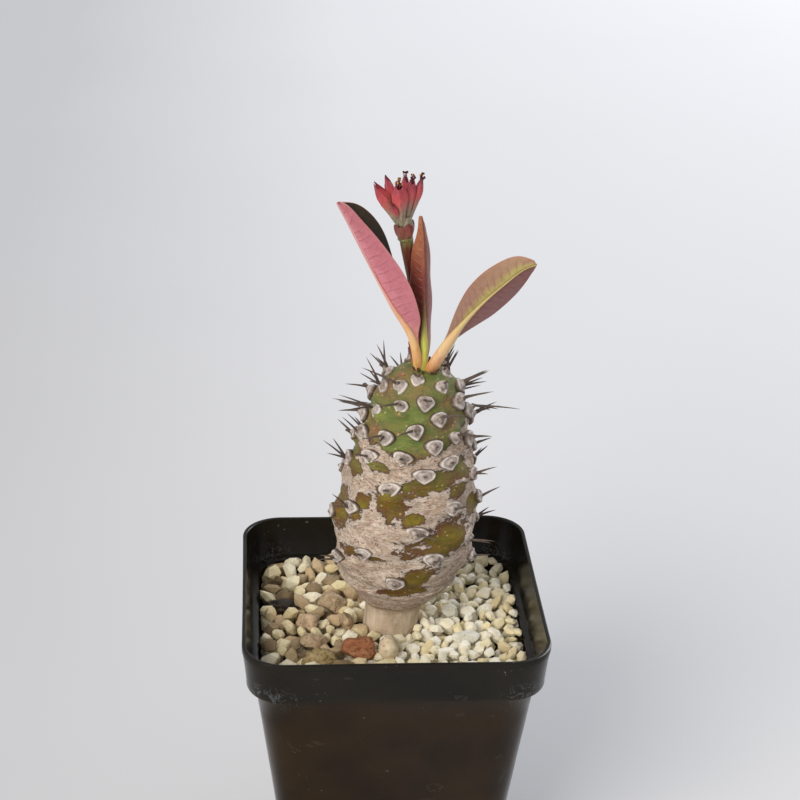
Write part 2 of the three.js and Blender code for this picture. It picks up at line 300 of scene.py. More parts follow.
# ------------------------------------------------------------------ pot
def model_pot():
    """Raise the square outline step by step: outside up, over the lip, and down inside."""
    bpy.ops.object.select_all(action="DESELECT")
    first = BASE_HALF - 1.0
    bpy.ops.mesh.primitive_plane_add(size=2 * first * MM, location=(0, 0, 0))
    pot = bpy.context.object
    bpy.ops.object.mode_set(mode="EDIT")
    bpy.ops.mesh.select_all(action="SELECT")
    corner = PLAN_CORNER * first / RIM_HALF
    bpy.ops.mesh.bevel(offset=corner * MM, segments=12, affect="VERTICES")
    bpy.ops.mesh.select_mode(type="EDGE")
    mesh = bmesh.from_edit_mesh(pot.data)
    for edge in mesh.edges:
        edge.select_set(edge.calc_length() > corner * MM)
    bmesh.update_edit_mesh(pot.data)
    bpy.ops.mesh.subdivide(number_cuts=7)
    bpy.ops.mesh.select_mode(type="FACE")
    bpy.ops.mesh.select_all(action="SELECT")

    body = [(BASE_HALF + BODY_DRAFT * z, z) for z in (14, 30, 46, 58, RIM_BOTTOM - 0.5)]
    inner_body = [(half - WALL, z) for half, z in reversed(body)]
    ledge = RIM_BOTTOM + WALL
    outline = [
        (BASE_HALF - 0.45, 0.12),
        (BASE_HALF - 0.1, 0.5),
        (BASE_HALF + 0.1, 1.2),
        *body,
        (BODY_TOP + 0.25, RIM_BOTTOM - 0.05),
        (BAND_FOOT - 0.4, RIM_BOTTOM),
        (BAND_FOOT - 0.1, RIM_BOTTOM + 0.1),
        (BAND_FOOT, RIM_BOTTOM + 0.38),
        (BAND_FOOT + 0.05, RIM_BOTTOM + 1.3),
        (RIM_HALF - 0.45, POT_HEIGHT - 4.2),
        (RIM_HALF - 0.16, POT_HEIGHT - 1.9),
        (RIM_HALF - 0.14, POT_HEIGHT - 1.5),
        (RIM_HALF, POT_HEIGHT - 1.35),
        (RIM_HALF, POT_HEIGHT - 0.3),
        (RIM_HALF - 0.08, POT_HEIGHT - 0.08),
        (RIM_HALF - 0.25, POT_HEIGHT),
        (RIM_HALF - 0.7, POT_HEIGHT),
        (RIM_HALF - 0.88, POT_HEIGHT - 0.1),
        (RIM_HALF - 1.0, POT_HEIGHT - 0.5),
        (BAND_FOOT - WALL, ledge + 0.7),
        (BAND_FOOT - WALL - 0.4, ledge + 0.15),
        (BODY_TOP - WALL + 0.5, ledge),
        (BODY_TOP - WALL, ledge - 0.35),
        *inner_body,
        (BASE_HALF - WALL + 0.2, FLOOR + 0.5),
        (BASE_HALF - WALL - 0.4, FLOOR),
    ]
    half, height = first, 0.0
    for next_half, next_height in outline:
        bpy.ops.mesh.extrude_region_move(
            TRANSFORM_OT_translate={"value": (0, 0, (next_height - height) * MM)}
        )
        share = next_half / half
        bpy.ops.transform.resize(value=(share, share, 1), center_override=(0, 0, 0))
        half, height = next_half, next_height
    bpy.ops.object.mode_set(mode="OBJECT")

    # The thin sides bow in a little between the corners, and the rim's edge wavers.
    for vert in pot.data.vertices:
        x, y, z = vert.co / MM
        reach = max(abs(x), abs(y))
        if reach < 1:
            continue
        middle = 1 - (min(abs(x), abs(y)) / reach) ** 2
        bow = 0.45 * middle * math.sin(math.pi * min(z / RIM_BOTTOM, 1.0))
        bow += 0.12 * middle * ease(RIM_BOTTOM, RIM_BOTTOM + 2, z)
        scale = 1 - bow / reach
        dip = 0.22 * middle * ease(RIM_BOTTOM - 1, RIM_BOTTOM, z) * (1 - ease(POT_HEIGHT - 6, POT_HEIGHT, z))
        vert.co = Vector((x * scale, y * scale, z + dip)) * MM

    # Drain holes round the middle of the floor.
    cutters = []
    for i in range(8):
        turn = i * math.pi / 4
        reach = DRAIN_CIRCLE * (math.sqrt(2) if i % 2 else 1)
        bpy.ops.mesh.primitive_cylinder_add(
            vertices=28,
            radius=DRAIN_RADIUS * MM,
            depth=6 * MM,
            location=(reach * math.cos(turn) * MM, reach * math.sin(turn) * MM, FLOOR / 2 * MM),
        )
        cutters.append(bpy.context.object)
    cutter = join_into(*cutters)
    drains = pot.modifiers.new("drains", "BOOLEAN")
    drains.operation = "DIFFERENCE"
    drains.object = cutter
    drains.solver = "EXACT"
    apply_modifiers(pot)
    bpy.data.objects.remove(cutter)
    smooth_by_angle(pot, 38)
    return pot


# ------------------------------------------------------------------ stem
# Half the stem's width, mm, against the height above the gravel bed.
STEM_OUTLINE = [
    (-16.0, 2.2), (-8.0, 5.2), (-2.0, 6.2), (0.0, 6.5), (2.5, 6.5), (5.0, 6.6), (7.0, 6.9), (8.4, 7.7),
    (10.0, 9.2), (13.3, 11.8), (17.3, 13.6), (20.8, 14.7), (23.5, 15.2), (28.5, 15.8), (31.0, 15.9),
    (33.8, 15.6), (36.9, 14.9), (40.8, 14.3), (44.2, 13.5), (47.7, 12.5), (51.3, 11.8),
    (55.8, 11.0), (59.3, 9.9), (62.8, 8.5), (65.5, 6.8), (67.2, 4.8), (68.0, 2.6),
]

# Windows of green or olive skin left between the corky bands: bearing in degrees, height
# above the bed, half width in degrees, half height in mm, and how far they lean.
SKIN_WINDOWS = [
    (-74, 44.5, 34, 2.6, 0.02), (-112, 40.5, 15, 4.0, -0.04), (-143, 35.4, 9, 1.7, 0.0),
    (-89, 36.6, 9, 1.3, 0.02), (-62, 30.8, 30, 4.6, 0.06), (-134, 26.2, 20, 1.3, 0.03),
    (-80, 21.8, 15, 2.6, 0.04), (-92, 17.3, 26, 1.5, 0.02), (-133, 47.8, 14, 1.2, -0.05),
    (-160, 45.0, 12, 2.2, 0.0), (-45, 41.6, 12, 1.4, 0.0), (-20, 35.6, 12, 2.4, 0.05),
]


def shield_bearing(index):
    return SHIELD_START + DIVERGENCE * index


def shield_height(index):
    young = min(index, YOUNG_SHIELDS) * YOUNG_PITCH
    old = max(index - YOUNG_SHIELDS, 0) * OLD_PITCH
    return CROWN - 0.3 - young - old


def turn_between(a, b):
    """The signed turn from bearing b to bearing a."""
    return (a - b + math.pi) % (2 * math.pi) - math.pi


def cork_cover(bearing, z):
    """1 where the stem is under cork, 0 where its skin shows."""
    above = z - BED_TOP
    seat = Vector((math.cos(bearing) * 16, math.sin(bearing) * 16, z))
    ragged = noise.noise(seat * 0.16) + 0.5 * noise.noise(seat * 0.42 + Vector((7, 3, 1)))
    edge = 52.5 - 1.2 * math.cos(bearing + math.radians(80)) + 3.5 * ease(0.2, 1.0, math.cos(bearing))
    cover = 0.5 - (above - edge - 1.6 * ragged) * 0.55
    cover = min(cover, 1.6)
    for turns in range(3):
        for middle, height, wide, tall, lean in SKIN_WINDOWS:
            middle = math.radians(middle + 121 * turns)
            across = turn_between(bearing, middle)
            dx = across / math.radians(wide)
            dz = (above - height - (1.7 * turns if turns else 0) - lean * math.degrees(across) * 0.6) / tall
            inside = 1 - math.sqrt(dx * dx + dz * dz) + 0.42 * ragged
            cover = min(cover, 0.5 - 0.95 * inside)
    if above < 12:
        cover = max(cover, 0.5 + (11.5 - above - ragged) * 0.3)
    return min(max(cover, 0.0), 1.0)


def model_stem():
    """A spun outline, leaned over and swollen under every shield and between the rings."""
    around, rows = 280, 260
    bottom, top = STEM_LOW[2] / MM, CROWN
    shields = [(shield_bearing(i), shield_height(i), i) for i in range(SHIELDS)]
    points, cork = [], []
    for row in range(rows):
        share = row / (rows - 1)
        z = bottom + (top - 0.35 - bottom) * (1 - (1 - share) ** 1.15)
        radius = smooth_value(STEM_OUTLINE, z - BED_TOP)
        near = [s for s in shields if abs(s[1] - z) < 7]
        for k in range(around):
            bearing = 2 * math.pi * k / around
            seat = Vector((math.cos(bearing) * radius, math.sin(bearing) * radius, z))
            swell = 0.0
            for middle, height, index in near:
                old = ease(25, 50, index)
                dx = turn_between(bearing, middle) * radius
                dz = z - height + 0.3
                if abs(dx) < 8:
                    wide = 1.9 + 1.3 * old
                    fall = math.exp(-((dx / wide) ** 2) - (dz / (1.7 + 0.5 * old)) ** 2)
                    swell += (1.45 + 0.15 * old) * fall
            above = z - BED_TOP
            on_body = ease(8, 12, above) * (1 - ease(63, 67, above))
            swell *= 0.25 + 0.75 * on_body
            wander = Vector((seat.x * 0.06, seat.y * 0.06, z * 0.07))
            swell += on_body * 0.55 * noise.noise(wander + Vector((3, 9, 4)))
            ring = noise.noise(Vector((seat.x * 0.04, seat.y * 0.04, z * 0.42)))
            swell += on_body * 0.55 * ring * (1 - ease(52, 56, above))
            crease = 0.8 * math.cos(bearing + math.radians(80)) + 0.7 * noise.noise(wander * 2.2)
            for height, high in ((50.6, 0.5), (48.9, 0.32), (44.8, 0.3), (35.0, 0.25), (15.5, 0.35)):
                swell += high * math.exp(-(((above - height + crease) / 0.55) ** 2))
            cover = cork_cover(bearing, z)
            flake = noise.noise(seat * 0.9)
            swell += 0.28 * ease(0.44, 0.6, cover) * on_body + 0.1 * flake * ease(0.5, 0.6, cover)
            out = radius + swell
            points.append(
                Vector((stem_x(z) + out * math.cos(bearing), out * math.sin(bearing), z)) * MM
            )
            cork.append(cover)
    faces = wall_faces(0, rows - 1, around)
    last = (rows - 1) * around
    points.append(Vector((stem_x(bottom), 0, bottom)) * MM)
    points.append(Vector((stem_x(top), 0, top - 0.1)) * MM)
    cork += [1.0, 0.0]
    for k in range(around):
        faces.append(((k + 1) % around, k, len(points) - 2))
        faces.append((last + k, last + (k + 1) % around, len(points) - 1))
    stem = mesh_object("stem_body", points, faces)
    set_attribute(stem, "cork", cork)
    smooth_all(stem)
    return stem


# ------------------------------------------------------------------ spine shields
# Half of a shield's outline, mm: across to the right, and up. It is mirrored to the left.
KITE = [
    (0.0, 1.62), (0.75, 1.6), (1.45, 1.3), (2.0, 0.62), (1.85, -0.1), (1.2, -1.0), (0.6, -1.65), (0.0, -2.0),
]

# A shield's cross-section from its skirt in to its middle: share of the outline, height on
# a young shield, height on an old one (mm), and how pale the horn is there. The low values
# in the middle are painted shade round the root of the spines.
SHIELD_RINGS = [
    (1.12, -0.8, -0.8, 0.05), (1.06, -0.2, -0.15, 0.2), (1.0, 0.14, 0.1, 0.6), (0.93, 0.3, 0.26, 0.85),
    (0.84, 0.36, 0.28, 0.8), (0.76, 0.4, 0.22, 0.6), (0.68, 0.48, 0.16, 0.46), (0.58, 0.66, 0.2, 0.5),
    (0.45, 0.98, 0.36, 0.56), (0.32, 1.36, 0.56, 0.5), (0.2, 1.66, 0.72, 0.28), (0.1, 1.82, 0.78, 0.04),
]

# How far a shield strays from the even spiral: degrees round, and mm up.
SHIELD_SHIFT = {
    0: (9, -1.0), 2: (5, 0.0), 7: (8, 0.8), 8: (-6, -0.5), 12: (4, 1.5), 15: (-1, 1.0), 18: (-4, 0.0),
    20: (-6, 0.6), 26: (-3, -1.4), 33: (-7, 0.3), 39: (-5, -0.4), 41: (-4, 1.0), 46: (-6, 0.0),
    47: (5, -0.7), 49: (1, 1.0), 52: (6, -0.7), 57: (7, 0.0), 60: (6, -2.2), 62: (-1, -0.6),
    65: (1, 1.4), 70: (3, 0.8),
}

# The spines of the shields seen best: length in mm, turn to the right and lift, in degrees.
SPINES = {
    0: [(6.4, -15, 62), (4.6, 10, 40), (4.4, 30, 32)], 2: [(1.2, -25, 30), (1.2, 20, 35)],
    5: [(1.3, 0, 25)], 7: [(8.0, -46, 34), (1.4, 20, 20)],
    8: [(6.2, -10, 30), (5.6, 8, 20), (6.4, 22, 4)], 10: [(1.0, -25, 25), (1.0, 22, 25)],
    12: [(7.0, -10, 58), (5.6, 12, 50), (4.4, 25, 30)], 13: [(7.2, 6, 20), (6.0, -16, 34), (5.0, 24, 8)],
    15: [(5.2, -30, 6), (1.0, 20, 20)], 18: [(5.6, 40, 14)],
    20: [(10.4, -4, 24), (8.0, -16, 30), (7.6, 14, 16)], 21: [(10.6, 2, 2), (6.0, 16, -8), (4.6, 26, -18)],
    23: [(4.6, -42, 20)], 28: [(4.4, -30, 2), (2.2, 12, 10)],
    31: [], 33: [(5.8, 0, 48)], 39: [(0.8, 0, 20)], 41: [(3.4, -12, 10), (1.2, 10, 20)], 44: [],
    46: [(5.4, -12, 40), (7.2, 0, 26), (5.2, 14, 12)], 47: [(5.2, 4, 10), (3.6, -14, 0)],
    49: [(0.9, -20, 10)],
    52: [(4.6, 42, 12)], 54: [(6.0, -4, 34), (3.6, -12, 2)], 57: [(3.8, 50, -4)],
    60: [(6.6, -4, 12), (4.8, 10, 0)], 62: [(3.6, -12, 24)], 65: [], 70: [],
}


def shield_outline(steps=24):
    """Points round a shield, from its top, clockwise."""
    half = [smooth_place([(x, y, 0) for x, y in KITE], i / (steps // 2)) for i in range(steps // 2 + 1)]
    left = [Vector((-p.x, p.y, 0)) for p in reversed(half[1:-1])]
    return half + left


OUTLINE = shield_outline()


def add_shield(index, rng, points, faces, tone):
    """The horny boss: rings of the outline that step up to a pale rim and in to a cone."""
    old = ease(27, 42, index)
    size = (0.98 - 0.16 * (1 - ease(2, 12, index)) + 0.1 * old) * rng.uniform(0.9, 1.1)
    wide = size * (1.0 + 0.12 * old)
    tall = size * (1.0 - 0.2 * old)
    count = len(OUTLINE)
    start = len(points)
    for share, young_height, old_height, pale in SHIELD_RINGS:
        height = young_height + (old_height - young_height) * old
        rise = 0.6 * (1 - share) * (1 - old)
        for k, p in enumerate(OUTLINE):
            spot = Vector((p.x * share * 0.9, p.y * share * 0.9, index * 3.7))
            ragged = 1 + (0.1 + 0.12 * old) * noise.noise(Vector((p.x * 0.8, p.y * 0.8, index * 1.9)))
            lump = (0.16 + 0.22 * old) * noise.noise(spot * 1.6) * ease(1.2, 0.98, share)
            x, y = p.x * share * wide * ragged, p.y * share * tall + rise
            points.append(Vector((x, y, height * size + lump)))
            tone.append(pale * (1 - 0.45 * ease(-0.1, 0.3, noise.noise(spot * 0.8 + Vector((5, 1, 2))))))
    # The tip of the boss, where the spines rise, is kept dark: painted shade at their root.
    points.append(Vector((0, 0.6 * (1 - old), (1.8 - 1.0 * old) * size)))
    tone.append(0.1)
    for ring in range(len(SHIELD_RINGS) - 1):
        for k in range(count):
            a = start + ring * count + k
            b = start + ring * count + (k + 1) % count
            faces.append((a, a + count, b + count, b))
    last = start + (len(SHIELD_RINGS) - 1) * count
    for k in range(count):
        faces.append((last + k, len(points) - 1, last + (k + 1) % count))
    faces.append(tuple(start + k for k in range(count)))
    return size


def add_spine(root, length, turn, lift, width, points, faces, along):
    """A tapering, slightly bent thorn with seven sides. Short ones end broken off."""
    sides, steps = 7, 6
    turn, lift = math.radians(turn), math.radians(lift)
    aim = Vector((math.sin(turn) * math.cos(lift), math.sin(lift), math.cos(turn) * math.cos(lift)))
    side = aim.cross(Vector((0, 1, 0.3))).normalized()
    other = aim.cross(side)
    broken = length < 2.4
    start = len(points)
    for i in range(steps + 1):
        share = i / steps
        bend = other * (-0.02 * length * math.sin(math.pi * share))
        centre = root + aim * (length * share - 0.5 * (1 - share)) + bend
        radius = width * ((1 - 0.35 * share) if broken else (1 - share) ** 0.7 + 0.05)
        for k in range(sides):
            a = 2 * math.pi * k / sides
            points.append(centre + (side * math.cos(a) + other * math.sin(a)) * radius)
            along.append(0.5 * share if broken else share)
    faces += wall_faces(start, steps, sides)
    faces.append(tuple(start + k for k in reversed(range(sides))))
    faces.append(tuple(start + steps * sides + k for k in range(sides)))


def spines_of(index, rng):
    """A shield's spines, as in SPINES: fewer and shorter on the old growth."""
    if index in SPINES:
        return SPINES[index]
    young = 1 - ease(30, 60, index)
    wanted = rng.choice([1, 2, 2, 3]) if index < 50 else rng.choice([0, 1, 1, 2])
    lift = 48 - 36 * ease(2, 22, index)
    made = []
    for i in range(wanted):
        length = rng.uniform(3.0, 4.8) + 1.2 * young
        if rng.random() < 0.22:
            length = rng.uniform(0.8, 1.6)
        spread = (i - (wanted - 1) / 2) * 27 + rng.uniform(-10, 10)
        made.append((length, spread, lift + rng.uniform(-12, 12)))
    return made


def shield_frame(index, skin):
    """Where a shield sits on the stem, turned so that its back lies on the skin."""
    shift, rise = SHIELD_SHIFT.get(index, (0, 0))
    bearing = shield_bearing(index) + math.radians(shift)
    z = shield_height(index) + rise
    start = Vector((stem_x(z), 0, z)) * MM
    outward = Vector((math.cos(bearing), math.sin(bearing), 0))
    seat, _, _, _ = skin.ray_cast(start + outward * 40 * MM, -outward)
    radius = smooth_value(STEM_OUTLINE, z - BED_TOP)
    slope = math.atan2(
        smooth_value(STEM_OUTLINE, z - 1.5 - BED_TOP) - smooth_value(STEM_OUTLINE, z + 1.5 - BED_TOP), 3.0
    )
    slope = 0.75 * slope + 0.1
    normal = outward * math.cos(slope) + Vector((0, 0, 1)) * math.sin(slope)
    across = Vector((0, 0, 1)).cross(normal).normalized()
    up = normal.cross(across)
    turn = Matrix((across, up, normal)).transposed().to_4x4()
    place = Matrix.Translation(seat / MM if seat else (start / MM + outward * radius))
    return place @ turn


def model_crown_stubs(thorn):
    """The shrivelled stipules round the feet of the leaf stalks: short dark stubs."""
    rng = random.Random(STUB_SEED)
    points, faces, along = [], [], []
    for i in range(15):
        turn = -2.7 + 4.4 * i / 14 + rng.uniform(-0.12, 0.12)
        reach = rng.uniform(2.6, 3.9)
        middle = stem_x(CROWN) + 1.4
        x, y = middle + 1.15 * reach * math.cos(turn), reach * math.sin(turn)
        root = Vector((x, CROWN - 0.5 - 0.1 * reach, -y))
        aim = math.degrees(turn) + 90
        add_spine(root, rng.uniform(1.0, 2.1), aim, 62 + rng.uniform(-15, 15), 0.42, points, faces, along)
    stubs = mesh_object("crown_stubs", [Vector((p.x, -p.z, p.y)) * MM for p in points], faces)
    set_attribute(stubs, "along", along)
    finish_piece(stubs, "crown_stubs", [thorn])


def model_shields(stem, horn, thorn, thorn_pale):
    """Every shield of the spiral with its spines, each seated on the stem's skin."""
    skin = BVHTree.FromObject(stem, bpy.context.evaluated_depsgraph_get())
    for index in range(SHIELDS):
        rng = random.Random(SHIELD_SEED + index)
        points, faces, tone = [], [], []
        size = add_shield(index, rng, points, faces, tone)
        boss_faces = len(faces)
        along = [0.0] * len(points)
        old = ease(27, 42, index)
        for length, turn, lift in spines_of(index, rng):
            root = Vector((0.016 * turn * size, 0.55 * (1 - old), (1.5 - 0.85 * old) * size))
            lift -= 22 * (1 - ease(25, 42, index))
            add_spine(root, length, 1.25 * turn, lift, rng.uniform(0.29, 0.36), points, faces, along)
        tone += [0.0] * (len(points) - len(tone))
        place = shield_frame(index, skin) @ Matrix.Rotation(rng.uniform(-0.25, 0.25), 4, "Z")
        obj = mesh_object(f"shield_{index:02d}", [place @ p * MM for p in points], faces)
        for i, face in enumerate(obj.data.polygons):
            face.material_index = 0 if i < boss_faces else 1
            face.use_smooth = True
        set_attribute(obj, "pale", tone)
        set_attribute(obj, "along", along)
        node = index - FIRST_NODE + 1
        nodes = [f"spine_shield_{node:02d}"] if 1 <= node <= NODE_SHIELDS else []
        dark = thorn if index < 50 else thorn_pale
        finish_piece(obj, f"shield_{index:02d}", [horn, dark], nodes)


# ------------------------------------------------------------------ leaves
def from_crown(points):
    return [(x, y, z + CROWN) for x, y, z in points]


LEAVES = {
    "left_leaf": {
        "midrib": [(5.0, -0.8, -1.0), (4.6, -2.6, 3.2), (2.9, -4, 9.3), (-1.3, -5, 16.2), (-6.8, -5.5, 26.7),
                   (-11.4, -5.5, 35.9), (-13.9, -5.4, 40.6)],
        "near": [(0.96, -0.25, 0.12), (0.98, -0.06, 0.16)],
        "far": [(0.35, 0.93, 0.0), (0.85, 0.5, 0.12)],
        "near_width": [(0, 0.6), (0.12, 0.8), (0.22, 1.5), (0.34, 4.7), (0.48, 6.7), (0.62, 6.8), (0.78, 5.4),
                       (0.9, 3.5), (0.97, 2.1), (1, 0.4)],
        "far_width": [(0, 0.6), (0.12, 0.8), (0.22, 1.4), (0.34, 3.6), (0.48, 6.2), (0.62, 7.8), (0.78, 8.4),
                      (0.9, 7.0), (0.97, 4.0), (1, 0.4)],
        "curl": -0.12,
        "keel": [1.15, 1.0, 0.6, 0.3, 0.2, 0.16, 0.1],
        "under": (-0.3, -1.0, -0.2),
    },
    "middle_leaf": {
        "midrib": [(6.3, -1.5, -1.0), (6.2, -2, 5), (5.9, -2, 16.6), (5.55, -2, 24), (5.2, -2, 30.7),
                   (4.5, -2, 36.3)],
        "near": [(0.45, 0.89, 0.0), (0.45, 0.89, 0.0)],
        "far": [(-0.86, 0.5, 0.0), (-0.86, 0.5, 0.0)],
        "near_width": [(0, 0.5), (0.08, 0.9), (0.2, 3.6), (0.36, 4.4), (0.55, 4.0), (0.78, 2.7), (0.9, 1.5),
                       (0.97, 0.5), (1, 0.02)],
        "far_width": [(0, 0.5), (0.08, 0.6), (0.2, 1.2), (0.36, 2.9), (0.55, 3.3), (0.78, 2.4), (0.9, 1.2),
                      (0.97, 0.4), (1, 0.02)],
        "curl": 0.2,
        "keel": [0.95, 0.8, 0.34, 0.16, 0.13, 0.1],
        "under": (-0.4, -1.0, -0.1),
    },
    "right_leaf": {
        "midrib": [(7.4, -0.8, -1.2), (8.7, -3.4, 2.6), (10.4, -6.2, 7.2), (13.4, -9, 13.4),
                   (17.4, -12, 19.8), (21.8, -15, 25.6), (25.6, -17, 29.8), (28.0, -18, 31.2)],
        "near": [(-0.72, 0.16, 0.68), (-0.5, 0.3, 0.8)],
        "far": [(0.6, 0.5, -0.62), (0.6, 0.5, -0.62)],
        "near_width": [(0, 0.8), (0.2, 0.9), (0.3, 1.3), (0.4, 2.4), (0.5, 3.7), (0.6, 4.6), (0.75, 4.8),
                       (0.88, 3.9), (0.95, 2.7), (1, 0.7)],
        "far_width": [(0, 0.8), (0.2, 0.9), (0.3, 1.2), (0.4, 2.8), (0.5, 4.5), (0.6, 5.7), (0.75, 5.7),
                      (0.88, 4.2), (0.95, 2.4), (1, 0.3)],
        "curl": 0.12,
        "keel": [1.55, 1.45, 1.25, 0.66, 0.36, 0.24, 0.18, 0.12],
        "under": (0.2, -0.8, -0.5),
    },
    "bud_leaf": {
        "midrib": [(4.3, 1.4, -1), (3.7, 1.8, 2), (3.1, 1.9, 4.8)],
        "near": [(0.9, -0.3, 0), (0.9, -0.3, 0)],
        "far": [(-0.5, 0.8, 0), (-0.5, 0.8, 0)],
        "near_width": [(0, 0.5), (0.4, 0.95), (0.8, 0.6), (1, 0.1)],
        "far_width": [(0, 0.5), (0.4, 0.95), (0.8, 0.6), (1, 0.1)],
        "curl": -0.1,
        "keel": [0.5, 0.4, 0.25],
        "under": (-0.2, -1.0, 0),
    },
}


def model_leaf(name, shape, materials):
    """A grid folded along the midrib, given its thickness, with its keel and stalk below."""
    bpy.ops.object.select_all(action="DESELECT")
    bpy.ops.mesh.primitive_grid_add(x_subdivisions=20, y_subdivisions=44, size=2)
    blade = bpy.context.object
    midrib = from_crown(shape["midrib"])
    set_attribute(blade, "across", [vert.co.x for vert in blade.data.vertices])
    set_attribute(blade, "share", [(vert.co.y + 1) / 2 for vert in blade.data.vertices])
    for vert in blade.data.vertices:
        across, share = vert.co.x, (vert.co.y + 1) / 2
        across = math.copysign(abs(across) ** 0.85, across)
        near = Vector(shape["near"][0]).lerp(Vector(shape["near"][1]), share).normalized()
        far = Vector(shape["far"][0]).lerp(Vector(shape["far"][1]), share).normalized()
        fold = math.sqrt(across * across + 0.01)
        near_reach = ((fold + across) / 2 - 0.05) * smooth_value(shape["near_width"], share)
        far_reach = ((fold - across) / 2 - 0.05) * smooth_value(shape["far_width"], share)
        hollow = near.cross(far).cross(near).normalized()
        curl = shape["curl"] * (near_reach**2 / 6 + far_reach**2 / 6)
        wave = 0.16 * math.sin(share * 21 + 2 * across) * across * across
        place = smooth_place(midrib, share) + near * near_reach + far * far_reach
        vert.co = (place + hollow * (curl + wave)) * MM
    blade.data.update()
    middle = blade.data.polygons[len(blade.data.polygons) // 2 + 16]
    if middle.normal.dot(Vector(shape["under"])) < 0:
        blade.data.flip_normals()
    for material in materials:
        blade.data.materials.append(material)
    thick = blade.modifiers.new("thickness", "SOLIDIFY")
    thick.thickness = 0.42 * MM
    thick.offset = -1
    thick.material_offset = 1
    round_off = blade.modifiers.new("round_off", "SUBSURF")
    round_off.levels = 1
    round_off.render_levels = 1
    apply_modifiers(blade)
    sides = 12
    keel = tube(name + "_keel", midrib, shape["keel"], sides=sides, flat=0.8)
    last = len(keel.data.vertices) // sides - 1
    set_attribute(keel, "share", [vert.index // sides / last for vert in keel.data.vertices])
    for material in materials:
        keel.data.materials.append(material)
    for face in keel.data.polygons:
        face.material_index = 2
    under = Vector(shape["under"]).normalized()
    for vert in keel.data.vertices:
        vert.co += under * 0.22 * MM
    join_into(blade, keel)
    smooth_all(blade)
    finish_piece(blade, name + "_blade", materials, [name])
    return blade


# ------------------------------------------------------------------ flower head
# The stalk's route from the crown, mm, and where the flower cup sits on it.
STALK_LENGTH = 30.2
STALK_ROUTE = [
    (6.4, 1.5, -1.0), (5.4, 1.5, 5.8), (4.1, 1.4, 14.0), (2.9, 1.3, 22.5), (1.9, 1.2, 28.6),
    (1.7, 1.2, STALK_LENGTH),
]
CUP = Vector((1.55, 1.2, CROWN + STALK_LENGTH))
CUP_TOP = CUP + Vector((-0.35, -0.05, 3.6))

# Each cyathium: its foot and tip from the cup's top, its half width, how deep its two
# bracts are cut apart, the bearing of the bracts, and how many stamens stand out of it.
CYATHIA = {
    "cyathium_1": ((-1.3, -0.5, -0.4), (-6.9, -1.6, 9.6), 1.75, 0.5, 80, 0),
    "cyathium_2": ((-0.9, 0.5, 0.0), (-4.3, 1.6, 10.2), 1.25, 0.18, 80, 0),
    "cyathium_3": ((-0.5, -1.1, -0.6), (-1.7, -3.2, 10.0), 1.7, 0.12, 15, 9),
    "cyathium_4": ((0.1, 0.9, 0.0), (0.2, 3.4, 9.8), 1.2, 0.2, 60, 3),
    "cyathium_5": ((0.5, -0.2, -0.2), (1.5, -0.8, 10.2), 1.2, 0.12, 40, 6),
    "cyathium_6": ((1.1, 0.3, 0.0), (3.8, 1.2, 9.8), 1.2, 0.14, 70, 7),
    "cyathium_7": ((-1.2, -1.2, 0.2), (-2.9, -3.7, 5.4), 0.85, 0.1, 100, 0),
}

# Half width of a cyathium against the share of its height.
CYATHIUM_OUTLINE = [
    (0.0, 0.4), (0.12, 0.46), (0.3, 0.58), (0.48, 0.8), (0.62, 0.98), (0.74, 1.0), (0.86, 0.74),
    (0.94, 0.5), (1.0, 0.3),
]


def lobed_cup(name, foot, tip, width, cut, bearing, outline, lobes=2, flat=0.82, wall=0.22):
    """An open cup between two points whose rim runs out into pointed lobes."""
    around, rows = 36, 18
    axis = tip - foot
    length = axis.length
    turn = Vector((0, 0, 1)).rotation_difference(axis).to_matrix().to_4x4()
    place = Matrix.Translation(foot) @ turn @ Matrix.Rotation(math.radians(bearing), 4, "Z")
    points, along = [], []
    for row in range(rows + 1):
        share = row / rows
        for k in range(around):
            a = 2 * math.pi * k / around
            lobe = abs(math.cos(a * lobes / 2)) ** 3
            top = 1 - cut * (1 - lobe)
            height = share * top
            radius = width * smooth_value(outline, height)
            pinch = 1 - 0.35 * ease(0.6, 1.0, height) * (1 - abs(math.cos(a * lobes / 2)))
            ribs = 1 + 0.09 * math.cos(5 * a + bearing) * ease(0.05, 0.4, share)
            x = radius * math.cos(a) * ribs
            y = radius * flat * pinch * math.sin(a) * ribs
            points.append(place @ Vector((x, y, height * length)) * MM)
            along.append(height)
    faces = wall_faces(0, rows, around)
    faces.append(tuple(reversed(range(around))))
    cup = mesh_object(name, points, faces)
    set_attribute(cup, "along", along)
    thick = cup.modifiers.new("thickness", "SOLIDIFY")
    thick.thickness = wall * MM
    thick.offset = -1
    apply_modifiers(cup)
    smooth_all(cup)
    return cup


def model_stamens(tip, axis, width, count, rng, filament, anther, pollen):
    """Thin red filaments with dark two-lobed anthers, some still dusted yellow."""
    pieces = []
    side = axis.orthogonal().normalized()
    for i in range(count):
        turn = Quaternion(axis, i * 2.4)
        reach = width * 0.22 * math.sqrt(i + 0.4) / math.sqrt(count) * 1.6
        foot = tip + (turn @ side) * reach * 0.5 - axis * 1.6
        head = tip + (turn @ side) * reach * 1.3 + axis * rng.uniform(-0.5, 0.8)
        thread = tube("filament", [foot, foot.lerp(head, 0.5), head], [0.1, 0.09, 0.08], sides=6)
        thread.data.materials.append(filament)
        pieces.append(thread)
        for lobe in (-1, 1):
            bpy.ops.mesh.primitive_ico_sphere_add(subdivisions=2, radius=0.24 * MM)
            knob = bpy.context.object
            offset = (turn @ side).cross(axis) * 0.17 * lobe
            knob.location = (head + offset) * MM
            knob.scale = (0.9, 0.9, 1.15)
            apply_place(knob)
            knob.data.materials.append(pollen if rng.random() < 0.28 else anther)
            pieces.append(knob)
    return pieces


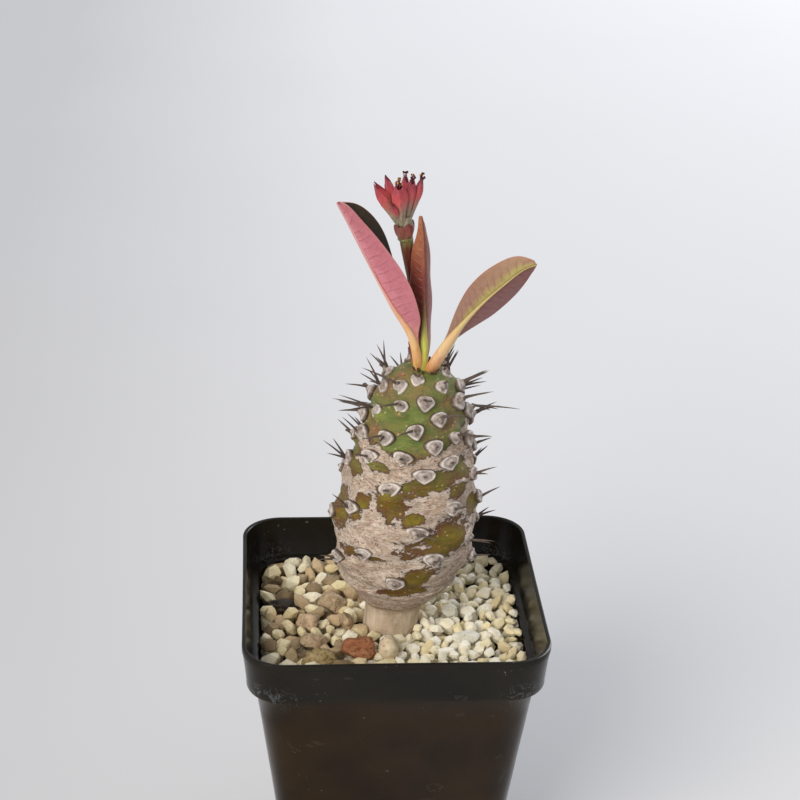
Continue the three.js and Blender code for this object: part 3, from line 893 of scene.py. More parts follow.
def model_flower(stalk_material, cup_material, petal, filament, anther, pollen):
    """The stalk, its green ring and lobed collar, and the cluster of cyathia."""
    stalk = tube("stalk", from_crown(STALK_ROUTE), [0.95, 0.85, 0.85, 0.92, 1.3, 1.55], sides=18)
    set_attribute(stalk, "along", [(vert.co.z / MM - CROWN) / STALK_LENGTH for vert in stalk.data.vertices])
    smooth_all(stalk)
    finish_piece(stalk, "flower_stalk_red", [stalk_material], ["flower_stalk"])

    cup_outline = [(0.0, 0.62), (0.2, 0.8), (0.5, 0.97), (0.8, 1.02), (1.0, 0.95)]
    collar = lobed_cup("collar", CUP + Vector((0, 0, -0.5)), CUP_TOP, 2.2, 0.16, 25, cup_outline, 4, 0.95)
    heart_route = [CUP + Vector(step) for step in ((0, 0, -0.6), (-0.1, 0, 1.6), (-0.3, 0, 4.8))]
    ring_route = [CUP + Vector((0, 0, z)) for z in (-0.9, -0.4, 0.1)]
    heart = tube("heart", heart_route, [1.45, 1.8, 1.5], sides=24)
    ring = tube("ring", ring_route, [1.35, 1.75, 1.4], sides=24)
    for piece, material in ((collar, cup_material), (heart, petal), (ring, stalk_material)):
        piece.data.materials.append(material)
    set_attribute(heart, "along", [0.12] * len(heart.data.vertices))
    set_attribute(ring, "along", [1.0] * len(ring.data.vertices))
    collar = join_into(collar, heart, ring)
    smooth_all(collar)
    finish_piece(collar, "flower_collar", list(collar.data.materials), ["flower_cup"])

    for number, (name, (foot, tip, width, cut, bearing, stamens)) in enumerate(CYATHIA.items()):
        rng = random.Random(FLOWER_SEED + number)
        foot, tip = CUP_TOP + Vector(foot), CUP_TOP + Vector(tip)
        pod = lobed_cup(name + "_bracts", foot, tip, width, cut, bearing, CYATHIUM_OUTLINE)
        pod.data.materials.append(petal)
        pieces = []
        if stamens:
            axis = (tip - foot).normalized()
            pieces = model_stamens(tip, axis, width, stamens, rng, filament, anther, pollen)
        pod = join_into(pod, *pieces)
        smooth_all(pod)
        finish_piece(pod, name + "_bracts", list(pod.data.materials), [name])


# ------------------------------------------------------------------ gravel and stones
def chip_mesh(rng, length, breadth, depth, corners=15):
    """A broken grain: the hull of points scattered on an ellipsoid."""
    grain = bmesh.new()
    for i in range(corners):
        z = 1 - 2 * (i + 0.5) / corners
        a = i * 2.39996 + rng.uniform(-0.35, 0.35)
        r = math.sqrt(1 - z * z)
        far = rng.uniform(0.78, 1.1)
        grain.verts.new((r * math.cos(a) * far * length, r * math.sin(a) * far * breadth, z * far * depth))
    bmesh.ops.convex_hull(grain, input=grain.verts)
    bmesh.ops.delete(grain, geom=[v for v in grain.verts if not v.link_faces], context="VERTS")
    points = [v.co.copy() for v in grain.verts]
    index = {v: i for i, v in enumerate(grain.verts)}
    faces = [tuple(index[v] for v in f.verts) for f in grain.faces]
    grain.free()
    return points, faces


# Each loose stone: its mineral, its slot, how many planes split it, how rough it is, its seed.
LOOSE_STONES = {
    "lava_stone": ("red_lava", "lava", 9, 0.13, 3),
    "oval_pebble": ("smooth_pebble", "tan_stone", 0, 0.04, 5),
    "leaning_sliver": ("tan_pumice", "tan_stone", 6, 0.1, 8),
    "tan_stone": ("tan_pumice", "tan_stone", 9, 0.13, 11),
    "angular_stone": ("tan_pumice", "tan_stone", 11, 0.1, 14),
    "rough_stone": ("crusted_pumice", "tan_stone", 6, 0.24, 17),
    "long_stone": ("tan_pumice", "tan_stone", 6, 0.1, 20),
    "white_stone": ("white_pumice", "pumice", 8, 0.06, 23),
    "flat_white_stone": ("white_pumice", "pumice", 7, 0.07, 26),
    "bark_chip": ("bark_chip", "bark", 9, 0.3, 29),
}


POUR_TRIES = 9  # places tried for each grain
POUR_PATIENCE = 260  # grains refused in a row before the bed is full
COARSE_SHARE = 0.75  # of the grains on the left
NECK_ROOM = 6.2  # mm kept clear round the neck


def pour_grains(rng):
    """Drop round grains one by one, each to the lowest of a few places it could rest."""
    body, inner = BODY_TOP - WALL - 0.4, BAND_FOOT - WALL - 0.4
    floor = BED_LOW[2] / MM + 1.5
    cells, grains = {}, []
    stones = [(Vector(low) / MM, Vector(high) / MM) for low, high in map(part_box, LOOSE_STONES)]

    def neighbours(x, y):
        cx, cy = int(x // 6), int(y // 6)
        for i in (cx - 1, cx, cx + 1):
            for j in (cy - 1, cy, cy + 1):
                yield from cells.get((i, j), ())

    def rest_height(x, y, radius):
        on_ledge = y < -8 and max(abs(x), abs(y)) > body - radius * 0.5
        z = RIM_BOTTOM + WALL + radius * 0.8 if on_ledge else floor + radius
        for ox, oy, oz, other in neighbours(x, y):
            reach = radius + other
            gap = reach * reach - (x - ox) ** 2 - (y - oy) ** 2
            if gap > 0:
                z = max(z, oz + math.sqrt(gap))
        return z

    def inside_stone(place, radius):
        for low, high in stones:
            middle, half = (low + high) / 2, (high - low) / 2
            d = [(place[k] - middle[k]) / (half[k] + radius * 0.55) for k in range(3)]
            if d[0] ** 2 + d[1] ** 2 + d[2] ** 2 < 1:
                return True
        return False

    refused = 0
    while refused < POUR_PATIENCE:
        coarse = rng.random() < COARSE_SHARE
        radius = rng.uniform(1.15, 1.75)
        best = None
        for _ in range(POUR_TRIES):
            x, y = rng.uniform(-inner, inner), rng.uniform(-inner, inner)
            size = radius * (1.35 if coarse and ease(-4, 8, -x) > rng.random() else 1)
            wide = body + (inner - body) * ease(8, 20, -y)
            if max(abs(x), abs(y)) > wide - size * 0.55 or abs(x) + abs(y) > 1.86 * wide - size:
                continue
            if math.hypot(x - stem_x(BED_TOP), y) < NECK_ROOM + size * 0.85:
                continue
            z = rest_height(x, y, size)
            if best is None or z - size < best[2] - best[3]:
                best = (x, y, z, size)
        if best is None:
            continue
        x, y, z, size = best
        level = BED_TOP + 1.9 + 0.9 * noise.noise(Vector((x, y, 3)) * 0.07)
        level += 1.0 * ease(body - 2.5, body, -y)
        if z > level or inside_stone((x, y, z), size):
            refused += 1
            continue
        refused = 0
        grains.append(best)
        cells.setdefault((int(x // 6), int(y // 6)), []).append(best)
    return grains


def inside_wall(p):
    """The point pulled in, if it must be, to the pot's inner face with its rounded corners."""
    half = BASE_HALF + BODY_DRAFT * min(p.z, RIM_BOTTOM) - WALL - 0.3
    half += (LEDGE - 0.6) * ease(RIM_BOTTOM + 0.4, RIM_BOTTOM + 1.2, p.z) * ease(8, 20, -p.y)
    corner = PLAN_CORNER - 1.5
    square = half - corner
    x, y = min(abs(p.x), half), min(abs(p.y), half)
    if x > square and y > square:
        reach = math.hypot(x - square, y - square)
        pull = min(1.0, corner / reach)
        x, y = square + (x - square) * pull, square + (y - square) * pull
    return Vector((math.copysign(x, p.x), math.copysign(y, p.y), p.z))


def any_direction(rng):
    return Vector((rng.gauss(0, 1), rng.gauss(0, 1), rng.gauss(0, 1))).normalized()


def model_gravel(material):
    """The bed of grains, each one of a few broken shapes, turned, stretched and toned."""
    rng = random.Random(GRAIN_SEED)
    masters = [chip_mesh(rng, 1.2, 0.98, 0.84, rng.choice([17, 21, 25])) for _ in range(24)]
    points, faces, tint, shade = [], [], [], []
    for x, y, z, radius in pour_grains(random.Random(POUR_SEED)):
        grain, grain_faces = rng.choice(masters)
        turn = Quaternion(any_direction(rng), rng.uniform(0, 6.28))
        stretch = Vector((rng.uniform(0.95, 1.25), rng.uniform(0.85, 1.1), rng.uniform(0.8, 1.05)))
        start = len(points)
        # 0 is the palest pumice, 1 the brownest stone: mostly pale, browner to the left.
        brown = ease(-2, 16, -x + rng.uniform(-7, 7))
        tone = min(rng.betavariate(0.9, 1.6) * (0.42 + 0.58 * brown) + 0.12 * brown, 1.0)
        for p in grain:
            p = Vector((p.x * stretch.x, p.y * stretch.y, p.z * stretch.z)) * radius * 1.12
            points.append(inside_wall(turn @ p + Vector((x, y, z))) * MM)
            tint.append(tone)
        shade += [rng.random()] * len(grain)
        faces += [tuple(start + i for i in face) for face in grain_faces]
    gravel = mesh_object("pumice_gravel", points, faces)
    set_attribute(gravel, "tint", tint)
    set_attribute(gravel, "shade", shade)
    finish_piece(gravel, "pumice_gravel", [material], ["gravel_bed"])
    return gravel


def model_stone(name, material, cuts, rough, seed):
    """A ball split flat by random planes, its faces broken up by coarse and fine lumps."""
    low, high = (Vector(corner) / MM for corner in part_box(name))
    middle, half = (low + high) / 2, (high - low) / 2
    bpy.ops.object.select_all(action="DESELECT")
    bpy.ops.mesh.primitive_ico_sphere_add(subdivisions=5, radius=1)
    stone = bpy.context.object
    rng = random.Random(seed)
    planes = []
    for _ in range(cuts):
        planes.append((any_direction(rng), rng.uniform(0.62, 0.86)))
    offset = Vector((seed * 3.1, seed * 1.7, 0))
    for vert in stone.data.vertices:
        p = vert.co.normalized()
        reach = 1.06
        for away, depth in planes:
            lean = p.dot(away)
            if lean > 0.01:
                reach = min(reach, depth / lean)
        reach += rough * noise.noise(p * 1.7 + offset)
        reach += rough * 0.45 * noise.noise(p * 5.0 + offset)
        reach += rough * 0.3 * noise.noise(p * 11.0 + offset)
        reach += rough * 0.16 * noise.noise(p * 25.0 + offset)
        vert.co = (middle + Vector((p.x * half.x, p.y * half.y, p.z * half.z)) * reach * 1.04) * MM
    smooth_all(stone)
    finish_piece(stone, name + "_worn", [material], [name])
    return stone


def model_soil(material):
    """The potting mix: a block that fills the pot's body, crumbly all over."""
    low, high = (Vector(corner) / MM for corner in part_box("soil"))
    bpy.ops.object.select_all(action="DESELECT")
    bpy.ops.mesh.primitive_cube_add(size=1, location=(0, 0, 0))
    soil = bpy.context.object
    bpy.ops.object.mode_set(mode="EDIT")
    bpy.ops.mesh.select_all(action="SELECT")
    bpy.ops.mesh.subdivide(number_cuts=26)
    bpy.ops.object.mode_set(mode="OBJECT")
    for vert in soil.data.vertices:
        p = vert.co * 2
        share = vert.co.z + 0.5
        z = low.z + (high.z - low.z) * share
        inner = BASE_HALF + BODY_DRAFT * z - WALL - 0.9
        corner = 1 - 0.16 * (abs(p.x) * abs(p.y)) ** 4
        crumb = 0.35 * noise.noise(Vector((p.x * 9, p.y * 9, z * 0.5)))
        x, y = p.x * inner * corner, p.y * inner * corner
        z += crumb if 0.02 < share < 0.98 else abs(crumb) - 0.3 * share
        vert.co = Vector((x + crumb, y - crumb, z)) * MM
    smooth_all(soil)
    finish_piece(soil, "potting_mix", [material], ["soil"])
    return soil


# ------------------------------------------------------------------ materials
def pot_plastic():
    """Injection-moulded polypropylene: semi-matt black, warmer where the thin wall glows
    brown, with a fine moulded grain, dust, hairline scuffs and dried specks of hard water."""
    material, shader, place, add = new_material("moulded_polypropylene", IOR=1.49, Specular_IOR_Level=0.2)
    height = add("SeparateXYZ", {0: place}, output="Z")
    cloud = add("TexNoise", {"Vector": place, "Scale": per_mm(14), "Detail": 4.0})
    fine = add("TexNoise", {"Vector": place, "Scale": per_mm(0.35)})
    base = add("MapRange", {0: height, 1: (RIM_BOTTOM - 1.5) * MM, 2: (RIM_BOTTOM + 1.5) * MM})
    body = add("ValToRGB", {0: cloud}, [(0.3, "#1c1206"), (0.7, "#2a1d0c")])
    band = add("ValToRGB", {0: cloud}, [(0.3, "#15120d"), (0.7, "#1f1c15")])
    colour = add("Mix", {0: base, 6: body, 7: band})
    specks = add("TexNoise", {"Vector": place, "Scale": per_mm(0.9), "Detail": 3.0, "Roughness": 0.7})
    patch = add("TexNoise", {"Vector": place, "Scale": per_mm(9)})
    where = add("ValToRGB", {0: patch}, [(0.56, "#000000"), (0.7, "#ffffff")])
    speck = add("ValToRGB", {0: specks}, [(0.66, "#000000"), (0.72, "#ffffff")])
    speck = add("Math", {0: speck, 1: where}, operation="MULTIPLY")
    speck = add("Math", {0: speck, 1: 0.5}, operation="MULTIPLY")
    colour = add("Mix", {0: speck, 6: colour, 7: "#a9a498"})
    away = add("VectorMath", {0: place}, operation="ABSOLUTE")
    away = add("VectorMath", {0: away, 1: ((RIM_HALF - 4) * MM, RIM_HALF * MM, 0)}, operation="SUBTRACT")
    away = add("VectorMath", {0: away, 1: (1, 1, 0)}, operation="MULTIPLY")
    away = add("VectorMath", {0: away}, output="Value", operation="LENGTH")
    corner = add("MapRange", {0: away, 1: 4 * MM, 2: 9 * MM, 3: 1.0, 4: 0.0})
    low = add("MapRange", {0: height, 1: (RIM_BOTTOM + 2.2) * MM, 2: (RIM_BOTTOM + 5.0) * MM, 3: 1.0, 4: 0.0})
    high = add("MapRange", {0: height, 1: (RIM_BOTTOM - 4) * MM, 2: RIM_BOTTOM * MM})
    mark = add("Math", {0: corner, 1: low}, operation="MULTIPLY")
    mark = add("Math", {0: mark, 1: high}, operation="MULTIPLY")
    crust = add("TexNoise", {
        "Vector": place, "Scale": per_mm(2.4), "Detail": 5.0, "Roughness": 0.6, "Distortion": 1.2})
    crust = add("ValToRGB", {0: crust}, [(0.53, "#000000"), (0.57, "#8a8a8a"), (0.61, "#000000")])
    colour = stained(add, colour, mark, "#8f969c", crust)
    turned = add("Mapping", {"Vector": place, "Rotation": (0.3, 0.5, 0.9), "Scale": (1, 14, 1)})
    scuff = add("TexNoise", {"Vector": turned, "Scale": per_mm(9), "Detail": 3.0, "Roughness": 0.6})
    scuff = add("ValToRGB", {0: scuff}, [(0.66, "#000000"), (0.69, "#5a5a5a"), (0.72, "#000000")])
    colour = add("Mix", {0: scuff, 6: colour, 7: "#6d675c"})
    dust = add("ValToRGB", {0: patch}, [(0.35, "#5c5c5c"), (0.75, "#8c8c8c")])
    rough = add("Math", {0: dust, 1: speck}, operation="ADD", use_clamp=True)
    bump = add("Bump", {"Height": fine, "Distance": 0.035 * MM, "Strength": 0.8})
    bump = add("Bump", {"Height": cloud, "Distance": 0.25 * MM, "Strength": 0.6, "Normal": bump})
    wire(shader, {"Base Color": colour, "Roughness": rough, "Normal": bump})
    return material


def stem_skin():
    """Succulent skin and the cork that seals its old scars: waxy green and olive where the
    skin is alive, with red-brown edges, and matt, pinkish-grey, papery cork that has torn
    into pale rims and dark pits, with a painted highlight beside each tear. The neck is plain grey-brown
    bark."""
    material, shader, place, add = new_material("succulent_skin_and_cork", IOR=1.42)
    height = add("SeparateXYZ", {0: place}, output="Z")
    cover = add("Attribute", output="Fac", attribute_name="cork")
    flat = add("Mapping", {"Vector": place, "Scale": (1, 1, 1.9)})
    coarse = add("TexNoise", {"Vector": flat, "Scale": per_mm(2.6), "Detail": 6.0, "Roughness": 0.68})
    broad = add("TexNoise", {"Vector": flat, "Scale": per_mm(7.5), "Detail": 3.0})
    fine = add("TexNoise", {"Vector": flat, "Scale": per_mm(0.75), "Detail": 4.0, "Roughness": 0.7})

    edge = wavered(add, cover, coarse, 2.1)
    edge = wavered(add, edge, fine, 0.75)
    corky = add("ValToRGB", {0: edge}, [(0.47, "#000000"), (0.55, "#ffffff")])

    # Living skin: greener towards the crown, olive and yellow in the old windows.
    young = add("MapRange", {0: height, 1: (CROWN - 27) * MM, 2: (CROWN - 15) * MM})
    olive = add("ValToRGB", {0: broad}, [
        (0.3, "#70491f"), (0.44, "#7c6016"), (0.57, "#867416"), (0.72, "#988c22")])
    green = add("ValToRGB", {0: broad}, [
        (0.3, "#9a7450"), (0.42, "#8f8250"), (0.54, "#788642"), (0.7, "#8c9c50")])
    skin = add("Mix", {0: young, 6: olive, 7: green})
    mottle = add("ValToRGB", {0: coarse}, [
        (0.36, "#5f6e4a"), (0.5, "#8a8a80"), (0.6, "#b79c80"), (0.7, "#c9a884")])
    skin = add("Mix", {0: 0.55, 6: skin, 7: mottle}, blend_type="OVERLAY")
    scar = add("ValToRGB", {0: fine}, [(0.58, "#000000"), (0.68, "#ffffff")])
    skin = stained(add, skin, scar, "#c0a07c", 0.5)
    dots = add("TexVoronoi", {"Vector": place, "Scale": per_mm(1.9)})
    dots = add("ValToRGB", {0: dots}, [(0.09, "#ffffff"), (0.16, "#000000")])
    skin = stained(add, skin, dots, "#dcb98a", 0.6)
    stain = add("ValToRGB", {0: edge}, [(0.22, "#000000"), (0.44, "#ffffff")])
    skin = stained(add, skin, stain, "#6e4030", 0.8)

    # Cork: pinkish grey sheets in level bands, torn into curling edges, with brown pits. The pale line beside
    # each dark tear is a painted highlight on the curled edge.
    cork = add("ValToRGB", {0: coarse}, [
        (0.3, "#806852"), (0.42, "#aa917a"), (0.55, "#c8b39e"), (0.7, "#e2d3c0")])
    sheet = add("Mapping", {"Vector": place, "Scale": (1, 1, 3.2)})
    sheets = add("TexNoise", {
        "Vector": sheet, "Scale": per_mm(7.0), "Detail": 7.0, "Roughness": 0.62, "Distortion": 0.7})
    tear = add("ValToRGB", {0: sheets}, [
        (0.37, "#000000"), (0.385, "#ffffff"), (0.4, "#000000"), (0.485, "#000000"), (0.5, "#ffffff"),
        (0.515, "#000000"), (0.585, "#000000"), (0.6, "#ffffff"), (0.615, "#000000")])
    # Painted highlight: a thin pale line just beside each dark tear line, standing in for light on the curled
    # edge.
    painted_tear_highlight = add("ValToRGB", {0: sheets}, [
        (0.4, "#000000"), (0.412, "#ffffff"), (0.44, "#000000"), (0.513, "#000000"), (0.53, "#ffffff"),
        (0.56, "#000000"), (0.613, "#000000"), (0.63, "#ffffff"), (0.67, "#000000")])
    cork = stained(add, cork, painted_tear_highlight, "#e4dad1", 0.55)
    cork = stained(add, cork, tear, "#7a5342", 0.7)
    pits = add("TexNoise", {"Vector": flat, "Scale": per_mm(1.1), "Detail": 3.0, "Roughness": 0.75})
    pit = add("ValToRGB", {0: pits}, [(0.34, "#ffffff"), (0.41, "#000000")])
    cork = add("Mix", {0: pit, 6: cork, 7: "#6b4132"})
    rim = add("ValToRGB", {0: edge}, [
        (0.52, "#000000"), (0.57, "#ffffff"), (0.64, "#c0c0c0"), (0.78, "#000000")])
    rim = add("Math", {0: rim, 1: 0.8}, operation="MULTIPLY")
    cork = add("Mix", {0: rim, 6: cork, 7: "#e2d7cd"})

    # The neck has weathered to one even grey-brown.
    neck = add("MapRange", {0: height, 1: (BED_TOP + 8.4) * MM, 2: (BED_TOP + 9.8) * MM, 3: 1.0, 4: 0.0})
    streak = add("Mapping", {"Vector": place, "Scale": (1, 1, 0.22)})
    bark = add("TexNoise", {"Vector": streak, "Scale": per_mm(1.6), "Detail": 4.0})
    bark = add("ValToRGB", {0: bark}, [(0.3, "#b09a82"), (0.55, "#cdb9a0"), (0.75, "#e0d1bd")])
    cork = add("Mix", {0: neck, 6: cork, 7: bark})

    colour = add("Mix", {0: corky, 6: skin, 7: cork})
    rough = add("MapRange", {0: corky, 3: 0.42, 4: 0.85})
    relief = add("Math", {0: corky, 1: 0.6, 2: fine}, operation="MULTIPLY_ADD")
    relief = add("Math", {0: rim, 1: 0.4, 2: relief}, operation="MULTIPLY_ADD")
    layers = add("Math", {0: neck, 1: -1.0, 2: corky}, operation="MULTIPLY_ADD", use_clamp=True)
    layers = add("Math", {0: sheets, 1: layers}, operation="MULTIPLY")
    relief = add("Math", {0: layers, 1: 2.6, 2: relief}, operation="MULTIPLY_ADD")
    bump = add("Bump", {"Height": relief, "Distance": 0.5 * MM, "Strength": 1.0})
    wire(shader, {"Base Color": colour, "Roughness": rough, "Normal": bump})
    return material


def spine_horn():
    """The horny boss under each set of spines: grey-brown horn with a chalky, worn rim, and painted shade
    darkening its middle where the spines rise.
    """
    material, shader, place, add = new_material("weathered_horn", Roughness=0.7, IOR=1.5)
    pale = add("Attribute", output="Fac", attribute_name="pale")
    fine = add("TexNoise", {"Vector": place, "Scale": per_mm(0.6), "Detail": 4.0, "Roughness": 0.7})
    tone = wavered(add, pale, fine, 0.9)
    colour = add("ValToRGB", {0: tone}, [
        (0.0, "#4e4038"), (0.14, "#6b5c50"), (0.3, "#8c7d73"), (0.5, "#aca098"), (0.75, "#c8beb5"),
        (1.0, "#ddd5cd")])
    bump = add("Bump", {"Height": fine, "Distance": 0.2 * MM, "Strength": 0.9})
    wire(shader, {"Base Color": colour, "Normal": bump})
    return material


def thorn_horn(name, root, middle, tip):
    """Hard keratin-like spine: smooth, satin, darkening from its root to its point."""
    material, shader, place, add = new_material(name, Roughness=0.55, IOR=1.5)
    along = add("Attribute", output="Fac", attribute_name="along")
    grain = add("TexNoise", {"Vector": place, "Scale": per_mm(0.5), "Detail": 3.0})
    tone = wavered(add, along, grain, 0.45)
    colour = add("ValToRGB", {0: tone}, [(0.05, root), (0.45, middle), (0.9, tip)])
    bump = add("Bump", {"Height": grain, "Distance": 0.04 * MM, "Strength": 0.7})
    wire(shader, {"Base Color": colour, "Normal": bump})
    return material


def leaf_face(name, near, far, band, edge, vein, vein_share, gloss):
    """One face of a leaf: waxy blade whose side veins run forward from the midrib, branch
    and fade towards the margin, its two halves coloured apart (on the right leaf the far half
    is painted darker as shade), with a paler band along the fold of the near half and blotches
    of colour between the veins."""
    material, shader, place, add = new_material(name, Roughness=gloss, IOR=1.45)
    share = add("Attribute", output="Fac", attribute_name="share")
    across = add("Attribute", output="Fac", attribute_name="across")
    side = add("Math", {0: across}, operation="ABSOLUTE")
    blotch = add("TexNoise", {"Vector": place, "Scale": per_mm(3.4), "Detail": 4.0})
    fine = add("TexNoise", {"Vector": place, "Scale": per_mm(0.9), "Detail": 4.0})
    tone = wavered(add, share, blotch, 0.3)
    near_half = add("ValToRGB", {0: tone}, list(zip((0.12, 0.3, 0.58, 0.95), near)))
    far_half = add("ValToRGB", {0: tone}, list(zip((0.12, 0.3, 0.58, 0.95), far)))
    half = add("ValToRGB", {0: across}, [(0.0, "#000000"), (0.02, "#ffffff")])
    colour = add("Mix", {0: half, 6: far_half, 7: near_half})
    strip = add("Math", {0: blotch, 1: 0.5, 2: across}, operation="MULTIPLY_ADD")
    strip = add("ValToRGB", {0: strip}, [(0.3, "#ffffff"), (0.62, "#000000")])
    strip = add("Math", {0: strip, 1: half}, operation="MULTIPLY")
    grown = add("ValToRGB", {0: share}, [(0.25, "#000000"), (0.5, "#dddddd")])
    colour = stained(add, colour, strip, band, grown)
    colour = grained(add, colour, fine, "#787878", "#9c9c9c", 0.6)

    # Side veins: even steps along the leaf, swept forward, and wavering.
    swept = add("Math", {0: side, 1: -1.1}, operation="MULTIPLY")
    step = add("Math", {0: share, 1: 21.0, 2: swept}, operation="MULTIPLY_ADD")
    step = add("Math", {0: blotch, 1: 1.1, 2: step}, operation="MULTIPLY_ADD")
    phase = add("Math", {0: step, 1: 0.5}, operation="PINGPONG")
    line = add("ValToRGB", {0: phase}, [(0.02, "#ffffff"), (0.14, "#000000")])
    net = add("TexVoronoi", {"Vector": place, "Scale": per_mm(1.5)}, feature="DISTANCE_TO_EDGE")
    net = add("ValToRGB", {0: net}, [(0.02, "#6a6a6a"), (0.1, "#000000")])
    line = add("Math", {0: line, 1: net}, operation="MAXIMUM")
    fade = add("ValToRGB", {0: side}, [(0.06, "#000000"), (0.16, "#ffffff"), (0.9, "#666666")])
    grown = add("ValToRGB", {0: share}, [(0.2, "#000000"), (0.36, "#ffffff")])
    line = add("Math", {0: line, 1: fade}, operation="MULTIPLY")
    line = add("Math", {0: line, 1: grown}, operation="MULTIPLY")
    colour = stained(add, colour, line, vein, vein_share)
    rim = add("ValToRGB", {0: side}, [(0.93, "#000000"), (0.99, "#ffffff")])
    colour = stained(add, colour, rim, edge, 0.7)
    bump = add("Bump", {"Height": line, "Distance": 0.18 * MM, "Strength": 0.6})
    bump = add("Bump", {"Height": fine, "Distance": 0.08 * MM, "Strength": 0.5, "Normal": bump})
    wire(shader, {"Base Color": colour, "Normal": bump, "Subsurface Weight": 0.12,
                  "Subsurface Radius": (0.002, 0.001, 0.0007), "Subsurface Scale": 0.6})
    return material


def leaf_midrib(name, foot, low, middle, tip):
    """The leaf's stalk and midrib: juicy, satin tissue, its colour changing along it."""
    material, shader, place, add = new_material(name, Roughness=0.42, IOR=1.45)
    share = add("Attribute", output="Fac", attribute_name="share")
    streak = add("Mapping", {"Vector": place, "Scale": (1, 1, 0.16)})
    fibre = add("TexNoise", {"Vector": streak, "Scale": per_mm(0.8), "Detail": 3.0})
    tone = wavered(add, share, fibre, 0.3)
    colour = add("ValToRGB", {0: tone}, [(0.03, foot), (0.2, low), (0.45, middle), (0.95, tip)])
    colour = grained(add, colour, fibre, "#747474", "#a0a0a0", 0.5)
    bump = add("Bump", {"Height": fibre, "Distance": 0.12 * MM, "Strength": 0.6})
    wire(shader, {"Base Color": colour, "Normal": bump, "Subsurface Weight": 0.15,
                  "Subsurface Radius": (0.002, 0.0012, 0.0006), "Subsurface Scale": 0.6})
    return material


def fleshy(name, stops, roughness, size, weight=0.1):
    """Thin living tissue of the flower head, coloured along its height from foot to tip, with
    darker fibres running up it."""
    material, shader, place, add = new_material(name, Roughness=roughness, IOR=1.45)
    along = add("Attribute", output="Fac", attribute_name="along")
    grain = add("TexNoise", {"Vector": place, "Scale": per_mm(size), "Detail": 4.0})
    drawn = add("Mapping", {"Vector": place, "Scale": (1, 1, 0.14)})
    fibre = add("TexNoise", {"Vector": drawn, "Scale": per_mm(0.55), "Detail": 3.0})
    tone = wavered(add, along, fibre, 0.3)
    colour = add("ValToRGB", {0: tone}, stops)
    colour = grained(add, colour, grain, "#6e6e6e", "#a2a2a2", 0.45)
    streak = add("ValToRGB", {0: fibre}, [(0.36, "#565656"), (0.5, "#8c8c8c")])
    colour = add("Mix", {0: 0.6, 6: colour, 7: streak}, blend_type="OVERLAY")
    bump = add("Bump", {"Height": fibre, "Distance": 0.2 * MM, "Strength": 0.7})
    wire(shader, {"Base Color": colour, "Normal": bump, "Subsurface Weight": weight,
                  "Subsurface Radius": (0.0015, 0.0006, 0.0005), "Subsurface Scale": 0.6})
    return material


def pumice():
    """Crushed pumice: chalky, porous, every grain its own shade from white through cream to
    tan, a little yellow stain, and painted shade darkening the pores."""
    material, shader, place, add = new_material("crushed_pumice", Roughness=0.9, IOR=1.5)
    tint = add("Attribute", output="Fac", attribute_name="tint")
    shade = add("Attribute", output="Fac", attribute_name="shade")
    pores = add("TexNoise", {"Vector": place, "Scale": per_mm(0.55), "Detail": 4.0, "Roughness": 0.75})
    cloud = add("TexNoise", {"Vector": place, "Scale": per_mm(1.6), "Detail": 3.0})
    tone = wavered(add, tint, cloud, 0.3)
    colour = add("ValToRGB", {0: tone}, [
        (0.0, "#f6f2e6"), (0.22, "#efe6cd"), (0.42, "#e0d2b0"), (0.6, "#cdb994"), (0.78, "#b09a78"),
        (1.0, "#7c684e")])
    warm = add("ValToRGB", {0: shade}, [
        (0.0, "#8b8a88"), (0.35, "#8e8a82"), (0.7, "#918a78"), (1.0, "#968a6c")])
    colour = add("Mix", {0: 0.4, 6: colour, 7: warm}, blend_type="OVERLAY")
    # Painted shade: the pores, sunk by the bump below, are darkened brown.
    painted_pore_shade = add("ValToRGB", {0: pores}, [(0.3, "#ffffff"), (0.42, "#000000")])
    colour = stained(add, colour, painted_pore_shade, "#7c6a4e", 0.45)
    bump = add("Bump", {"Height": pores, "Distance": 0.34 * MM, "Strength": 0.9})
    bump = add("Bump", {"Height": cloud, "Distance": 0.3 * MM, "Strength": 0.5, "Normal": bump})
    wire(shader, {"Base Color": colour, "Normal": bump})
    return material


ROUGH_STONE = {"smooth_pebble": 0.7, "potting_mix": 0.95}  # other stones have 0.88


def stone(name, dark, middle, pale, pit_colour, pit_size, pit_share):
    """A single larger stone: mottled mineral colour, with pits, grit and a broken face."""
    material, shader, place, add = new_material(name, Roughness=ROUGH_STONE.get(name, 0.88), IOR=1.5)
    cloud = add("TexNoise", {"Vector": place, "Scale": per_mm(2.2), "Detail": 5.0, "Roughness": 0.6})
    grit = add("TexNoise", {"Vector": place, "Scale": per_mm(0.45), "Detail": 3.0, "Roughness": 0.7})
    colour = add("ValToRGB", {0: cloud}, [(0.3, dark), (0.5, middle), (0.72, pale)])
    pits = add("TexVoronoi", {"Vector": place, "Scale": per_mm(pit_size)})
    pits = add("Math", {0: grit, 1: 0.5, 2: pits}, operation="MULTIPLY_ADD")
    pit = add("ValToRGB", {0: pits}, [(0.36, "#ffffff"), (0.5, "#000000")])
    pit = add("Math", {0: pit, 1: pit_share}, operation="MULTIPLY")
    colour = add("Mix", {0: pit, 6: colour, 7: pit_colour})
    colour = grained(add, colour, grit, "#6c6c6c", "#a4a4a4", 0.5)
    dent = add("Math", {0: pit, 1: -1.2, 2: grit}, operation="MULTIPLY_ADD")
    bump = add("Bump", {"Height": dent, "Distance": 0.3 * MM, "Strength": 0.9})
    wire(shader, {"Base Color": colour, "Normal": bump})
    return material


